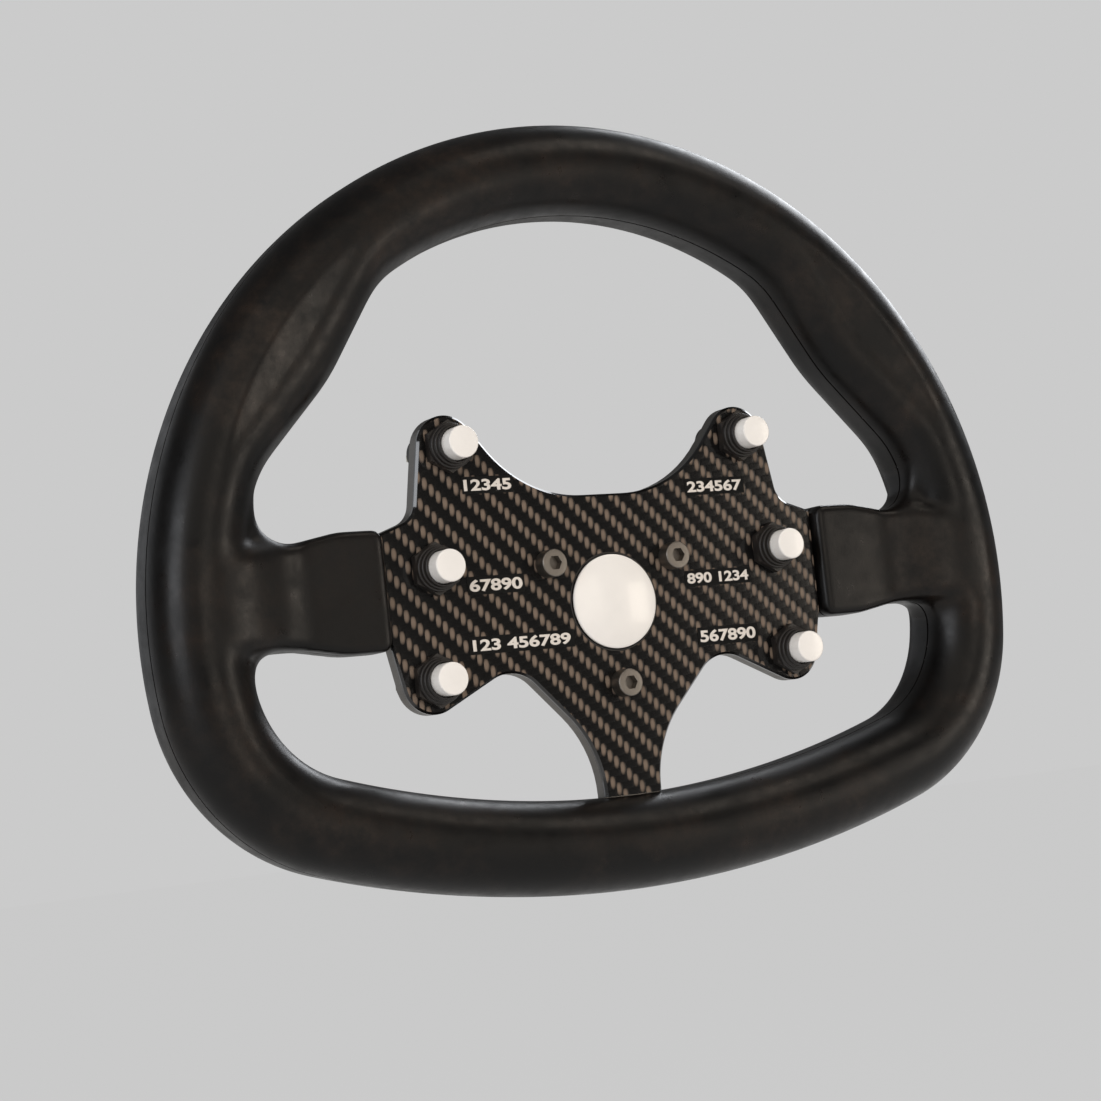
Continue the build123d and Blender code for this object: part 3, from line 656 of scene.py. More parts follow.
def label_film(name, rgb, rough):
    """Printed polyester film with a slightly uneven, scuffed face."""
    material, add, paint, place = start_material(name)
    scuff = add("TexNoise", {"Vector": place, "Scale": 1 / (1.2 * MM), "Detail": 5.0})
    tone = add("Mix", {0: scuff, 6: opaque(rgb), 7: opaque(rgb, 0.8)}, data_type="RGBA")
    worn = add("MapRange", {"Value": scuff, "To Min": rough, "To Max": rough * 1.4})
    paint({"IOR": 1.5, "Specular IOR Level": 0.25, "Base Color": tone.outputs[2], "Roughness": worn})
    return material


# Each finish: its name, how it is made, and its colours and numbers, some of them from the settings
FINISHES = {
    "grip": ("moulded polyurethane skin", moulded_polyurethane, "grip.black", "grip.worn", "grip.grain_size"),
    "carbon": ("clear-coated carbon twill", carbon_twill,
               "plate.warp_lit", "plate.weft_dark", "plate.tow_width"),
    "lacquer": ("lacquered plate edge", moulded_plastic, "#0b0a0a", 0.14, 0.6),
    "alloy": ("milled aluminium", milled_aluminium, "plate.alloy"),
    "nylon": ("black nylon", moulded_plastic, "switch.body_black", 0.42),
    "collar": ("black gloss plastic", moulded_plastic, "switch.body_black", 0.46),
    "white": ("white gloss plastic", moulded_plastic, "switch.cap_white", 0.26, 0.3),
    "steel": ("stainless steel", turned_metal, "screw.steel", 0.4),
    "blued": ("blackened steel", turned_metal, "#3a3836", 0.38),
    "spring": ("spring wire", turned_metal, "#8f8f8d", 0.3),
    "tinned": ("tinned brass", turned_metal, "#c9c3b2", 0.24),
    "film": ("black label film", label_film, "#060606", 0.62),
    "print": ("white label print", label_film, "#e6ded6", 0.5),
}


def value_of(entry):
    """A number as it is, a hex colour made linear, or what a setting holds."""
    if not isinstance(entry, str):
        return entry
    if entry.startswith("#"):
        return linear(entry)
    group, name = entry.split(".")
    return getattr(settings(group), name)


def finish_of(key):
    """The finished materials, each made once."""
    name, make, *entries = FINISHES[key]
    return bpy.data.materials.get(name) or make(name, *[value_of(entry) for entry in entries])


# The grip: a swept rim and two pads, joined in one skin and parted again

def d_path(sizes, inset_by, spacing):
    """Points and inward directions along the wheel's outline, moved in, in the plane of the wheel."""
    radius = sizes.outline_radius
    drop = sizes.bottom_radius - sizes.bottom_drop
    orbit = radius - sizes.corner_radius
    reach = sizes.bottom_radius - sizes.corner_radius
    z = (orbit**2 - reach**2 + drop**2) / (2 * drop)
    x = math.sqrt(orbit**2 - z**2)
    side = math.degrees(math.atan2(z, x))
    low = math.degrees(math.atan2(z - drop, x))
    points = []
    for centre, size, first, last in (
            ((0, 0), radius, side, 180 - side),
            ((-x, z), sizes.corner_radius, 180 - side, 180 - low),
            ((0, drop), sizes.bottom_radius, 180 - low, 360 + low),
            ((x, z), sizes.corner_radius, low, side)):
        run = math.radians(last - first) * (size - inset_by)
        count = max(4, round(run / spacing))
        for k in range(count):
            angle = first + (last - first) * k / count
            points.append((*beside(centre, size - inset_by, angle), *beside((0, 0), -1, angle)))
    return points


# The crest of the thumb swell, and the angles at which its flanks run up and down from there
SWELL_CREST = (88.1, 70.7)
SWELL_UPPER, SWELL_LOWER = 122.5, -46.5
SWELL_END = math.radians(80)


def swell_at(x, z, inner):
    """How far the thumb swell stands in from the plain inner edge, in millimetres."""
    across, up = SWELL_CREST
    turn = math.atan2(z, abs(x))
    if not 0 < turn < SWELL_END:
        return 0.0
    flank = math.radians(SWELL_UPPER if turn > math.atan2(up, across) else SWELL_LOWER)
    return max(0.0, inner - (across * math.sin(flank) - up * math.cos(flank)) / math.sin(flank - turn))


def smoothed(values, reach):
    """Values round a closed path, each averaged with its neighbours."""
    count, span = len(values), range(-reach, reach + 1)
    return [sum(values[(i + k) % count] for k in span) / len(span) for i in range(count)]


PATH_SPACING, SECTION_SPACING = 1.6, 1.2


def grip_rim(sizes):
    """The plain rim with its thumb swells, as a swept skin."""
    points = d_path(sizes, sizes.width / 2, PATH_SPACING * MM)
    inner = (sizes.outline_radius - sizes.width) / MM
    swells = smoothed(smoothed([swell_at(x, z, inner) for x, z, _, _ in points], 4), 2)
    mesh = mesh_from("grip_path", [(x, z, FRAME_FRONT * MM) for x, z, _, _ in points],
                     edges=[(i, (i + 1) % len(points)) for i in range(len(points))])
    swell = mesh.attributes.new("swell", "FLOAT", "POINT")
    swell.data.foreach_set("value", [size * MM for size in swells])
    inward = mesh.attributes.new("inward", "FLOAT_VECTOR", "POINT")
    inward.data.foreach_set("vector", [part for _, _, nx, nz in points for part in (nx, nz, 0.0)])
    return grow("grip_rim", mesh, rim_tree(), {
        "Width": sizes.width, "Front depth": sizes.front_depth, "Rear depth": sizes.rear_depth,
        "Front rounding": sizes.front_round, "Rear rounding": sizes.rear_round,
        "Spacing": SECTION_SPACING * MM})


# The pads' edges as (point, radius) corners, and where the pads start and sink into the rim
PAD_START, PAD_SUNK = 77.2, 139.0
PAD_TOP = [((PAD_START, 26.0), 3.0), ((91.1, 26.0), 24.0), ((105.0, 23.4), 24.0), ((RIM_INSIDE, 23.4), 20.0),
           ((PAD_SUNK, 12.7), 0)]
PAD_BOTTOM = [((PAD_SUNK, -4.5), 0), ((RIM_INSIDE, -7.5), 20.0), ((105.0, -7.5), 24.0), ((91.1, -10.0), 24.0),
              ((PAD_START, -10.0), 3.0)]
PAD_MIDDLE = 8.0
PAD_EDGE = 2.0
PAD_FRONT, PAD_REAR = 5.0, 8.0
RAMP_SLOPE, CREST_RADIUS = 22, 45.0
RIM_CREST = RIM_RADIUS - GRIP_WIDTH / 2


def edge_at(points, x):
    """Height of a chain of points at x, between the two points beside it."""
    for (ax, az), (bx, bz) in zip(points, points[1:]):
        if ax <= x <= bx and bx > ax:
            return az + (bz - az) * (x - ax) / (bx - ax)
    return points[0][1] if x < points[0][0] else points[-1][1]


def ramp_profile(low, high):
    """Pad height along x: flat by the plate, then a ramp to the crest of the rim."""
    top_x = RIM_CREST - CREST_RADIUS * math.tan(math.radians(RAMP_SLOPE / 2))
    foot_x = top_x - (high - low) / math.tan(math.radians(RAMP_SLOPE))
    ramp = [((60, low), 0), ((foot_x, low), 30.0), ((top_x, high), CREST_RADIUS), ((160, high), 0)]
    # the outline closes far under the pad, and that part is left off
    return [p for p in rounded(ramp + [((100, -90), 0)], 1.0) if p[1] > -50]


def spoke_pad(name, side, sizes):
    """Pad over a side spoke, lofted across the wheel through rounded sections."""
    outline = rounded(PAD_TOP + PAD_BOTTOM, 4.0)
    top = sorted(p for p in outline if p[1] > PAD_MIDDLE)
    bottom = sorted(p for p in outline if p[1] < PAD_MIDDLE)
    front = ramp_profile(PAD_FRONT, sizes.front_depth / MM)
    rear = ramp_profile(PAD_REAR, sizes.rear_depth / MM)
    stations = [PAD_START + d for d in (0, 0.15, 0.4, 0.8, 1.3, 2, 3, 4)] + [82 + 1.5 * k for k in range(39)]
    shell = bmesh.new()
    loops = []
    for x in stations:
        low, high = edge_at(bottom, x), edge_at(top, x)
        near = max(0.0, PAD_EDGE - (x - PAD_START))
        drop = PAD_EDGE - math.sqrt(PAD_EDGE**2 - near**2)
        loop = []
        for heights, sign in ((front, 1), (rear, -1)):
            crest = edge_at(heights, x) - drop
            half = []
            for k in range(7):
                a = math.radians(90 * k / 6)
                half.append((low + PAD_EDGE * (1 - math.cos(a)), crest - PAD_EDGE * (1 - math.sin(a))))
            half += [(low + high - z, h) for z, h in reversed(half)]
            loop += [(z, FRAME_FRONT + sign * h) for z, h in half[::sign]]
        loops.append([shell.verts.new(spot(side * x, h, z)) for z, h in loop])
    for here, ahead in zip(loops, loops[1:]):
        band(shell, here, ahead)
    shell.faces.new(loops[0])
    shell.faces.new(loops[-1])
    pad = piece_from(name, shell)
    outward(pad)
    return pad


# The inner corners between rim and pads: a point, a radius and the side of the pad
WEB_CORNERS = [((119.2, 23.4), 10.0, 1), ((121.0, -7.5), 6.0, -1)]
WEB_REAR, WEB_FRONT = FRAME_FRONT - 8.5, FRAME_FRONT + 6.0


def corner_webs(name, side):
    """Wedges that round the inner corners between the rim and a side pad, seen from the front."""
    web = bmesh.new()
    for (x, z), radius, up in WEB_CORNERS:
        cz = z + up * radius
        cx = math.sqrt((RIM_INSIDE - radius)**2 - cz**2)
        curve = arc((cx, cz), radius, -90 * up, math.degrees(math.atan2(cz, cx)), 14)
        loop = curve + [(x + 6, curve[-1][1]), (x + 6, z - up * 6), (cx, z - up * 6)]
        slab(web, [(side * a, b) for a, b in loop], WEB_REAR, WEB_FRONT)
    return piece_from(name, web)


# The blend reaches this far from each inner corner, and from a line across the pad's foot on the rim
CORNER_REACH, FOOT_REACH, FOOT_LINE = 17, 22, 124


def soften_corners(piece):
    """Blends the grip where the pads run into the rim."""
    group = piece.vertex_groups.new(name="blend")
    for vert in piece.data.vertices:
        x, z = abs(vert.co.x) / MM, vert.co.z / MM
        near = max(1 - math.hypot(x - cx + 2, z - cz - up * 3) / CORNER_REACH
                   for (cx, cz), _, up in WEB_CORNERS)
        if -9 < z < 25:
            near = max(near, (1 - abs(x - FOOT_LINE) / FOOT_REACH) * 0.9)
        if near > 0:
            group.add([vert.index], min(1.0, 1.5 * near), "REPLACE")
    blend = piece.modifiers.new("blend", "SMOOTH")
    blend.vertex_group = "blend"
    blend.factor = 0.5
    blend.iterations = 90
    apply_modifiers(piece)


def skin_over(pieces, size):
    """Joins closed shells and draws one even skin over them."""
    whole = joined("grip_skin", [piece.data for piece in pieces])
    for piece in pieces:
        bpy.data.objects.remove(piece)
    remesh = whole.modifiers.new("skin", "REMESH")
    remesh.mode = "VOXEL"
    remesh.voxel_size = size
    remesh.use_smooth_shade = True
    calm = whole.modifiers.new("calm", "SMOOTH")
    calm.factor = 0.5
    calm.iterations = 5
    apply_modifiers(whole)
    return whole


SEAM_PULL = 2.2


def part_half(whole, name, direction, seam_half):
    """One half of the skin, cut at the parting line with a fine chamfer along its edge."""
    shell = bmesh.new()
    shell.from_mesh(whole.data)
    for offset, clear in ((seam_half, False), (0.0, True)):
        bmesh.ops.bisect_plane(
            shell, geom=shell.verts[:] + shell.edges[:] + shell.faces[:], dist=1e-7,
            plane_co=Vector((0, -FRAME_FRONT * MM - direction * offset, 0)), plane_no=(0, direction, 0),
            clear_outer=clear, clear_inner=False)
    shell.normal_update()
    rim = [edge for edge in shell.edges if edge.is_boundary]
    moves = {}
    for vert in (vert for edge in rim for vert in edge.verts):
        normal = Vector((vert.normal.x, 0, vert.normal.z))
        moves[vert] = vert.co - normal.normalized() * seam_half * SEAM_PULL
    for vert, place in moves.items():
        vert.co = place
    bmesh.ops.triangle_fill(shell, edges=rim, use_beauty=False)
    return piece_from(name, shell)


def grip_screw_places():
    """Places of the five screws of each side: three on the round, one in the corner, one at the bottom."""
    right = [beside((0, 0), RIM_CREST, angle) for angle in (22.0, 50.0, 78.0)]
    right.append(beside((87.08, -12.72), CORNER_RADIUS - GRIP_WIDTH / 2, -42.0))
    low = math.sqrt((BOTTOM_RADIUS - GRIP_WIDTH / 2) ** 2 - 55.0**2)
    right.append((55.0, BOTTOM_RADIUS - BOTTOM_DROP - low))
    return right + [(-x, z) for x, z in right]


class WHEEL_OT_grip(Operator):
    """Builds the two moulded halves of the grip over the CAD solids"""
    bl_idname = "wheel.grip"
    bl_label = "Moulded grip"

    def execute(self, context):
        sizes = settings("grip")
        shells = [grip_rim(sizes)]
        for name, side in SIDES.items():
            shells += [spoke_pad("pad_" + name, side, sizes), corner_webs("web_" + name, side)]
        whole = skin_over(shells, sizes.remesh_size)
        soften_corners(whole)
        front = part_half(whole, "grip_front_moulding", 1, sizes.seam_half)
        rear = part_half(whole, "grip_rear_moulding", -1, sizes.seam_half)
        bpy.data.objects.remove(whole)
        # the sunk seats of the grip screws are bored in the rear half
        bore = [(0, SCREW_SEAT), (3.9, SCREW_SEAT), (3.9, -20.0), (0, -20.0)]
        bores = turned_pieces("screw_bores", bore, grip_screw_places(), "grip", 48)
        drill = rear.modifiers.new("bores", "BOOLEAN")
        drill.operation = "DIFFERENCE"
        drill.object = bores
        drill.solver = "EXACT"
        apply_modifiers(rear)
        bpy.data.objects.remove(bores)
        for piece, node in ((front, "front_grip"), (rear, "rear_grip")):
            smooth_by_angle(piece, 38)
            dress(piece, "grip", "wheel", [node])
        return {"FINISHED"}


# The plate and the frame under it

def butterfly():
    """Closed outline that the middle of the frame and the button plate share."""
    upper, lower = SWITCH_ROWS["upper"], SWITCH_ROWS["lower"]
    inner_flank, outer_flank = beside(upper, 9.8, 142.0), beside(upper, 9.8, 9.3)
    lower_side, lower_edge = beside(lower, 10.6, -11.3), beside(lower, 9.4, -116.4)
    shoulder, neck = (PLATE_HALF_WIDTH, 25.0), (20.0, -33.6)
    right = [
        (meet((0, 33.5), 0, inner_flank, 52.0), 40.0),
        (meet(inner_flank, 52.0, outer_flank, 99.3), 9.8),
        (meet(outer_flank, 99.3, shoulder, -19.5), 7.0),
        (shoulder, 0),
        (meet(lower_side, 78.7, shoulder, 90), 0),
        (meet(lower_side, 78.7, lower_edge, -26.4), 9.8),
        (meet(lower_edge, -26.4, neck, 46.7), 12.0),
        (meet(neck, 46.7, (10.0, 0), 90), 36.0),
        ((10.0, PLATE_FOOT), 0),
    ]
    return rounded(right + [((-x, z), r) for (x, z), r in reversed(right)])


class WHEEL_OT_plate(Operator):
    """Builds the carbon button plate with its polished chamfer"""
    bl_idname = "wheel.plate"
    bl_label = "Button plate"

    def execute(self, context):
        depth = settings("plate").chamfer / MM
        outline = butterfly()
        edge = inset(outline, depth, PLATE_HALF_WIDTH, PLATE_FOOT)
        holes = [ring(place, 6.15) for place in switch_places().values()]
        holes += [ring(place, 2.7) for place in hub_places()] + [ring((0, 0), 15.45)]
        shell = bmesh.new()
        layers = ((outline, FRAME_FRONT), (outline, PLATE_FACE - depth), (edge, PLATE_FACE))
        loops = [loop_at(shell, layer, height) for layer, height in layers]
        for lower, upper in zip(loops, loops[1:]):
            for wall in band(shell, lower, upper):
                wall.material_index = 1
        rims = [loops[0]], [loops[-1]]
        for circle in holes:
            rear, front = loop_at(shell, circle, FRAME_FRONT), loop_at(shell, circle, PLATE_FACE)
            band(shell, front, rear)
            rims[0].append(rear)
            rims[1].append(front)
        for side in rims:
            bounds = [shell.edges.get(pair) for loop in side for pair in zip(loop, loop[1:] + loop[:1])]
            bmesh.ops.triangle_fill(shell, edges=bounds, use_beauty=True)
        plate = piece_from("carbon_plate", shell)
        smooth_by_angle(plate, 20)
        for finish in ("carbon", "lacquer"):
            plate.data.materials.append(finish_of(finish))
        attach(plate, "wheel")
        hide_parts("button_plate")
        return {"FINISHED"}


class WHEEL_OT_hardware(Operator):
    """Finishes the CAD nodes that keep their shape: frame, locknut and contacts"""
    bl_idname = "wheel.hardware"
    bl_label = "Frame and inner parts"

    def execute(self, context):
        finishes = {"frame": "alloy", "horn_locknut": "nylon"}
        contacts = ["horn_contact", "horn_blades"] + [place + "_tags" for place in switch_places()]
        for node, finish in [*finishes.items(), *((contact, "tinned") for contact in contacts)]:
            piece = frame["nodes"][node]
            piece.data.materials.clear()
            piece.data.materials.append(finish_of(finish))
        return {"FINISHED"}


# The switches, the horn push and the screws: profiles are (radius, height) points

def headed(profile, radius, top, soft):
    """Closes a profile with a round-edged head or face at the top."""
    return profile + arc((radius - soft, top - soft), soft, 0, 90) + [(0, top)]


class WHEEL_OT_switches(Operator):
    """Builds the nuts, stepped collars and rear bodies of the six switches"""
    bl_idname = "wheel.switches"
    bl_label = "Switch bodies"

    def execute(self, context):
        sizes = settings("switch")
        segments = settings("screw").segments
        places = switch_places()
        nuts = grow("switch_nuts", places_mesh("switch_nuts", places.values(), PLATE_FACE), nut_tree(), {
            "Across flats": sizes.nut_width, "Height": sizes.nut_height, "Bore": 6.05 * MM,
            "Segments": segments, "Material": finish_of("nylon")})
        smooth_by_angle(nuts, 20)
        dress(nuts, "nylon", "wheel", [place + "_nut" for place in places])

        foot = PLATE_FACE + NUT_HEIGHT
        rise = (COLLAR_END - foot) / 3
        soft = 0.45
        collar = [(5.25, foot)]
        for step in range(3):
            radius = (sizes.collar_radius - step * sizes.collar_step) / MM
            collar.append((radius, foot + step * rise))
            collar += arc((radius - soft, foot + (step + 1) * rise - soft), soft, 0, 90)
        collar += [(5.5, COLLAR_END), (5.2, COLLAR_END - 0.25)]
        body = [(0, -10.5), (5.6, -10.5), (6.0, -10.1), (6.0, -1.5), (7.0, -1.5), (7.2, -1.3), (7.2, 0),
                (6.0, 0), (6.0, 9.8), (5.2, 9.8), (5.2, 7.5), (4.0, 7.5), (4.0, -2.0), (0, -2.0)]
        for name, profile, finish, slot, node in (
                ("switch_collars", collar, "collar", "black_gloss", "_collar"),
                ("switch_bodies", body, "nylon", "black_nylon", "_switch")):
            pieces = turned_pieces(name, profile, places.values(), finish, segments)
            dress(pieces, finish, "wheel", [place + node for place in places])
        return {"FINISHED"}


class WHEEL_OT_caps(Operator):
    """Builds the white push caps, each on its own body"""
    bl_idname = "wheel.caps"
    bl_label = "Push caps"

    def execute(self, context):
        sizes = settings("switch")
        radius = sizes.cap_radius / MM
        profile = headed([(0, 10.5), (radius, 10.5)], radius, CAP_FACE, sizes.cap_edge / MM)
        for place, centre in switch_places().items():
            cap = turned_pieces(place + "_push_cap", profile, [centre], "white")
            dress(cap, "white", place + "_button", [place + "_cap"])
        return {"FINISHED"}


class WHEEL_OT_springs(Operator):
    """Winds a return spring for each moving push"""
    bl_idname = "wheel.springs"
    bl_label = "Return springs"

    def execute(self, context):
        sizes = settings("switch")
        tree = spring_tree()
        for joint in frame["record"]["behaviour"]["joints"]:
            bent = joint["deforming_nodes"][0]
            low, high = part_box(bent["node"])
            wire, turns = sizes.spring_wire, sizes.spring_turns
            if joint["child"] == "horn_push":
                wire, turns = sizes.horn_wire, sizes.horn_turns
            centre = ((low[0] + high[0]) / 2, (low[2] + high[2]) / 2)
            foot = places_mesh(joint["name"], [(centre[0] / MM, centre[1] / MM)], (wire / 2 - high[1]) / MM)
            spring = grow(joint["name"] + "_coil", foot, tree, {
                "Radius": (high[0] - low[0] - wire) / 2, "Wire": wire, "Rise": high[1] - low[1] - wire,
                "Turns": turns, "Material": finish_of("spring")})
            outward(spring)
            smooth_by_angle(spring)
            dress(spring, "spring", "wheel", [bent["node"]])
            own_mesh(spring)
        return {"FINISHED"}


class WHEEL_OT_horn(Operator):
    """Builds the domed horn push and its housing"""
    bl_idname = "wheel.horn"
    bl_label = "Horn push"

    def execute(self, context):
        edge = PLATE_FACE + 0.87
        rise, radius = 1.9, 14.56
        dome = (radius**2 + rise**2) / (2 * rise)
        lean = math.degrees(math.asin((radius - 0.25) / dome))
        push = [(0, -3.5), (3.0, -3.5), (3.0, PLATE_FACE), (10.9, PLATE_FACE), (10.9, 0.2), (12.9, 0.2),
                (12.9, 1.7), (12.3, 1.7), (12.3, PLATE_FACE), (radius - 0.2, PLATE_FACE),
                (radius, PLATE_FACE + 0.2), (radius, edge - 0.25), (radius - 0.06, edge - 0.06)]
        push += arc((0, edge + rise - dome), dome, 90 - lean, 90, 24)[:-1] + [(0, edge + rise)]
        bowl = [(0, -8.0), (13.6, -8.0), (14.0, -7.6), (14.0, 4.0), (15.4, 4.0), (15.4, 5.4), (15.3, 5.5),
                (15.0, 5.5), (14.9, 5.4), (14.9, 4.4), (12.6, 4.4), (12.6, 2.0), (13.2, 2.0), (13.2, -6.0),
                (0, -6.0)]
        for name, profile, finish, body, slot, node in (
                ("horn_push_dome", push, "white", "horn_push", "white_cap", "horn_cap"),
                ("horn_bowl", bowl, "collar", "wheel", "black_gloss", "horn_housing")):
            dress(turned_pieces(name, profile, [(0, 0)], finish, 128), finish, body, [node])
        return {"FINISHED"}


class WHEEL_OT_screws(Operator):
    """Sets the socket screws round the hub and in the rear of the grip"""
    bl_idname = "wheel.screws"
    bl_label = "Socket screws"

    def execute(self, context):
        sizes = settings("screw")
        tree = screw_tree()
        radius, top = sizes.hub_head_radius / MM, PLATE_FACE + 5.0
        shank = [(0, -12.0), (2.1, -12.0), (2.5, -11.6), (2.5, PLATE_FACE), (radius, PLATE_FACE)]
        screws = turned_pieces(
            "hub_socket_screws", headed(shank, radius, top, 0.45), hub_places(), "steel", sizes.segments,
            tree, {"Socket width": sizes.hub_socket, "Socket depth": 2.6 * MM, "Top": top * MM})
        dress(screws, "steel", "wheel", ["hub_screws"])
        # the tree builds them facing forwards, so they are turned round to face the rear
        radius, top = sizes.grip_head_radius / MM, 2.6
        shank = [(0, -17.5), (2.0, -17.5), (2.0, 0), (radius, 0)]
        rear = turned_pieces(
            "grip_socket_screws", headed(shank, radius, top, 1.2), grip_screw_places(), "blued", 40, tree,
            {"Socket width": sizes.grip_socket, "Socket depth": 1.4 * MM, "Top": top * MM})
        for vert in rear.data.vertices:
            vert.co.y = -SCREW_SEAT * MM - vert.co.y
        outward(rear)
        dress(rear, "blued", "wheel", ["grip_screws"])
        return {"FINISHED"}


# Labels: black film strips with plain numbers, each with its left, right, lower and upper edge

LABELS = [
    ("12345", -48.4, -31.0, 35.4, 40.6),
    ("67890", -50.0, -30.6, 5.0, 10.5),
    ("123 456789", -51.5, -15.4, -12.8, -7.5),
    ("234567", 30.3, 52.5, 31.6, 36.9),
    ("890 1234", 26.5, 51.3, 2.8, 7.8),
    ("567890", 29.0, 51.5, -16.0, -10.3),
]
LABEL_FACE = PLATE_FACE + 0.12
# Shares of a strip that its numbers fill, along and across
PRINT_LONG, PRINT_TALL = 0.93, 0.68


def printed(text, left, right, low, high):
    """One row of numbers, bold, fitted to its strip."""
    curve = bpy.data.curves.new("number", "FONT")
    curve.body = text
    curve.align_x = "CENTER"
    curve.align_y = "CENTER"
    curve.size = 1.0
    curve.bevel_depth = 0.034
    curve.bevel_resolution = 0
    curve.extrude = 0.004
    holder = link("number", curve)
    mesh = final_mesh(holder)
    bpy.data.objects.remove(holder)
    xs = [v.co.x for v in mesh.vertices]
    ys = [v.co.y for v in mesh.vertices]
    wide = PRINT_LONG * (right - left) / (max(xs) - min(xs))
    tall = PRINT_TALL * (high - low) / (max(ys) - min(ys))
    middle_x, middle_y = (max(xs) + min(xs)) / 2, (max(ys) + min(ys)) / 2
    for v in mesh.vertices:
        v.co = spot((left + right) / 2 + (v.co.x - middle_x) * wide, LABEL_FACE + v.co.z,
                    (low + high) / 2 + (v.co.y - middle_y) * tall)
    return mesh


class WHEEL_OT_labels(Operator):
    """Lays the label strips with their plain numbers on the plate"""
    bl_idname = "wheel.labels"
    bl_label = "Label strips"

    def execute(self, context):
        film = bmesh.new()
        for _, left, right, low, high in LABELS:
            corners = ((left, low), (right, low), (right, high), (left, high))
            slab(film, rounded([(corner, 0.3) for corner in corners], 20), PLATE_FACE - 0.05, LABEL_FACE)
        dress(piece_from("label_strips", film), "film", "wheel")
        dress(joined("label_numbers", [printed(*label) for label in LABELS]), "print", "wheel")
        return {"FINISHED"}


# The stage: floor, backdrop, lights and camera

CAMERA_PLACE = Vector((-0.3693, -0.6275, -0.0394))
CAMERA_AIM, CAMERA_UP = Vector((0.4877, 0.8695, 0.0787)), Vector((0.0546, -0.1204, 0.9912))
FLOOR_HEIGHT, FLOOR_HALF = -0.45, 8


def area_light(name, place, size, power, rgb):
    """Soft box that looks at the hub."""
    lamp = bpy.data.lights.new(name, "AREA")
    lamp.shape = "RECTANGLE"
    lamp.size, lamp.size_y = size
    lamp.energy = power
    lamp.color = rgb
    aim = (-Vector(place)).to_track_quat("-Z", "Y")
    link(name, lamp).matrix_world = Matrix.Translation(Vector(place)) @ aim.to_matrix().to_4x4()


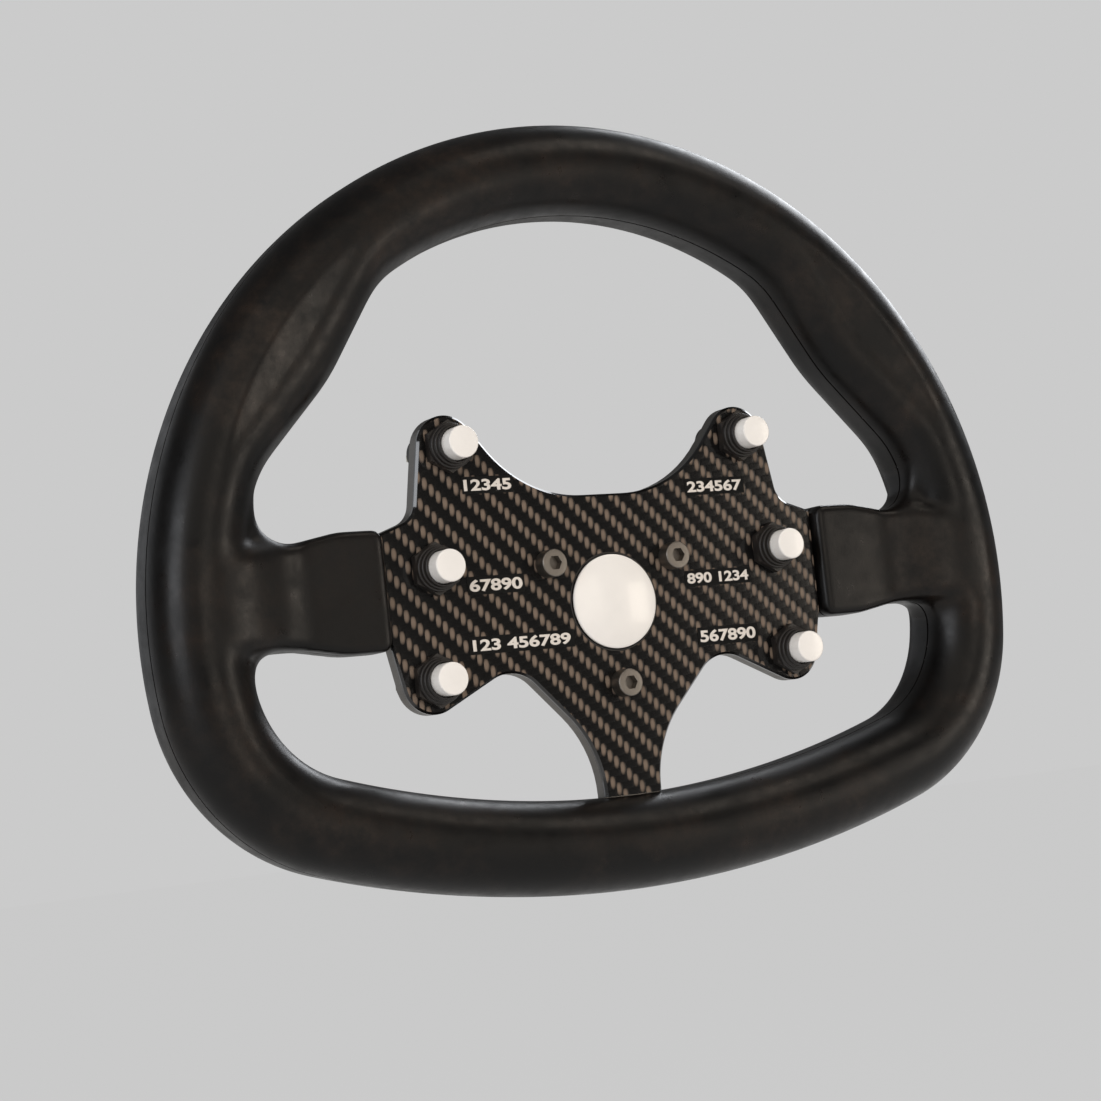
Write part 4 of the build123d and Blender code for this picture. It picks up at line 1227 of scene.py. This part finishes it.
class WHEEL_OT_stage(Operator):
    """Sets the floor, the backdrop, the soft lights and the camera"""
    bl_idname = "wheel.stage"
    bl_label = "Stage"

    def execute(self, context):
        sizes = settings("stage")
        context.scene.view_settings.view_transform = "Standard"
        self.world(context.scene, opaque(sizes.backdrop))
        self.floor(opaque(sizes.backdrop))
        for name, place, size, power, tint in (
                ("front_softbox", (0.36, -2.37, 0.25), (0.8, 1.2), 5, sizes.warm),
                ("warm_softbox", (1.6, -1.5, 0.05), (0.6, 0.8), 6, sizes.warm),
                ("high_softbox", (1.0, -0.95, 1.5), (0.8, 0.8), 4, sizes.warm),
                ("fill_softbox", (-0.9, -1.9, 1.3), (2.4, 2.0), 10, sizes.warm),
                ("left_softbox", (-1.65, -0.9, 0.4), (0.9, 0.9), 12, sizes.cool),
                ("right_softbox", (1.54, 0.72, 1.06), (1.3, 1.1), 22, sizes.cool),
                ("back_softbox", (-1.5, 2.6, 0.3), (3.0, 3.0), 12, sizes.cool)):
            area_light(name, place, size, power, tint)
        self.camera(context.scene, sizes)
        return {"FINISHED"}

    def world(self, scene, backdrop):
        """World: the backdrop for the camera, a weak one for reflections, and soft fill light."""
        world = bpy.data.worlds.new("studio")
        scene.world = world
        world.use_nodes = True
        world.node_tree.nodes.clear()
        add = partial(add_node, world.node_tree)
        rays = add("LightPath").outputs
        seen, fill, mirror = [
            add("Background", {"Color": tint, "Strength": strength})
            for tint, strength in ((backdrop, 1.0), (opaque(linear("#f4f2ee")), 0.6), (backdrop, 0.2))]
        shiny = add("MixShader", [rays["Is Glossy Ray"], fill, mirror])
        add("OutputWorld", [add("MixShader", [rays["Is Camera Ray"], shiny, seen])])

    def floor(self, backdrop):
        """Floor of pale paper that the camera sees in the backdrop's colour, with the wheel's shadow."""
        ends = ((-1, -1), (1, -1), (1, 1), (-1, 1))
        corners = [(x * FLOOR_HALF, y * FLOOR_HALF, FLOOR_HEIGHT) for x, y in ends]
        floor = link("floor", mesh_from("floor", corners, [(0, 1, 2, 3)]))
        material, add, paint, _ = start_material("studio floor paper")
        paint({"Base Color": backdrop, "Roughness": 0.9, "Specular IOR Level": 0.1})
        nodes = material.node_tree.nodes
        glow = add("Emission", {"Color": backdrop, "Strength": 1.0})
        shown = add("Math MULTIPLY", [add("LightPath").outputs["Is Camera Ray"], 0.97])
        mixed = add("MixShader", [shown, nodes["Principled BSDF"], glow])
        feed(material.node_tree, nodes["Material Output"], [mixed])
        floor.data.materials.append(material)

    def camera(self, scene, sizes):
        """Camera at the photograph's place and angle."""
        data = bpy.data.cameras.new("camera")
        data.sensor_fit = "HORIZONTAL"
        data.sensor_width = 36.0
        data.lens = data.sensor_width * sizes.focal_pixels / sizes.picture_pixels
        data.clip_start = 0.01
        forward = CAMERA_AIM.normalized()
        right = forward.cross(CAMERA_UP).normalized()
        turn = Matrix((right, right.cross(forward), -forward)).transposed().to_4x4()
        scene.camera = link("camera", data)
        scene.camera.matrix_world = Matrix.Translation(CAMERA_PLACE) @ turn


class WHEEL_PT_panel(Panel):
    bl_label = "Racing wheel"
    bl_idname = "WHEEL_PT_panel"
    bl_space_type = "VIEW_3D"
    bl_region_type = "UI"
    bl_category = "Wheel"

    def draw(self, context):
        for step in STEPS:
            self.layout.operator(step.bl_idname)
        for group in GROUPS:
            box = self.layout.box()
            box.label(text=group.title())
            values = settings(group)
            for name in type(values).__annotations__:
                box.prop(values, name)


GROUPS = {"grip": GripSettings, "plate": PlateSettings, "switch": SwitchSettings, "screw": ScrewSettings,
          "stage": StageSettings}
STEPS = (WHEEL_OT_grip, WHEEL_OT_plate, WHEEL_OT_hardware, WHEEL_OT_switches, WHEEL_OT_caps, WHEEL_OT_springs,
         WHEEL_OT_horn, WHEEL_OT_screws, WHEEL_OT_labels, WHEEL_OT_stage)


def register():
    for known in (*GROUPS.values(), *STEPS, WHEEL_PT_panel):
        bpy.utils.register_class(known)
    for name, group in GROUPS.items():
        setattr(bpy.types.Scene, "wheel_" + name, PointerProperty(type=group))


def unregister():
    for name in GROUPS:
        delattr(bpy.types.Scene, "wheel_" + name)
    for known in (WHEEL_PT_panel, *reversed(STEPS), *reversed(GROUPS.values())):
        bpy.utils.unregister_class(known)


def main():
    register()
    bpy.ops.wheel.grip()
    bpy.ops.wheel.plate()
    bpy.ops.wheel.hardware()
    bpy.ops.wheel.switches()
    bpy.ops.wheel.caps()
    bpy.ops.wheel.springs()
    bpy.ops.wheel.horn()
    bpy.ops.wheel.screws()
    bpy.ops.wheel.labels()
    bpy.ops.wheel.stage()


if __name__ == "__main__":
    main()
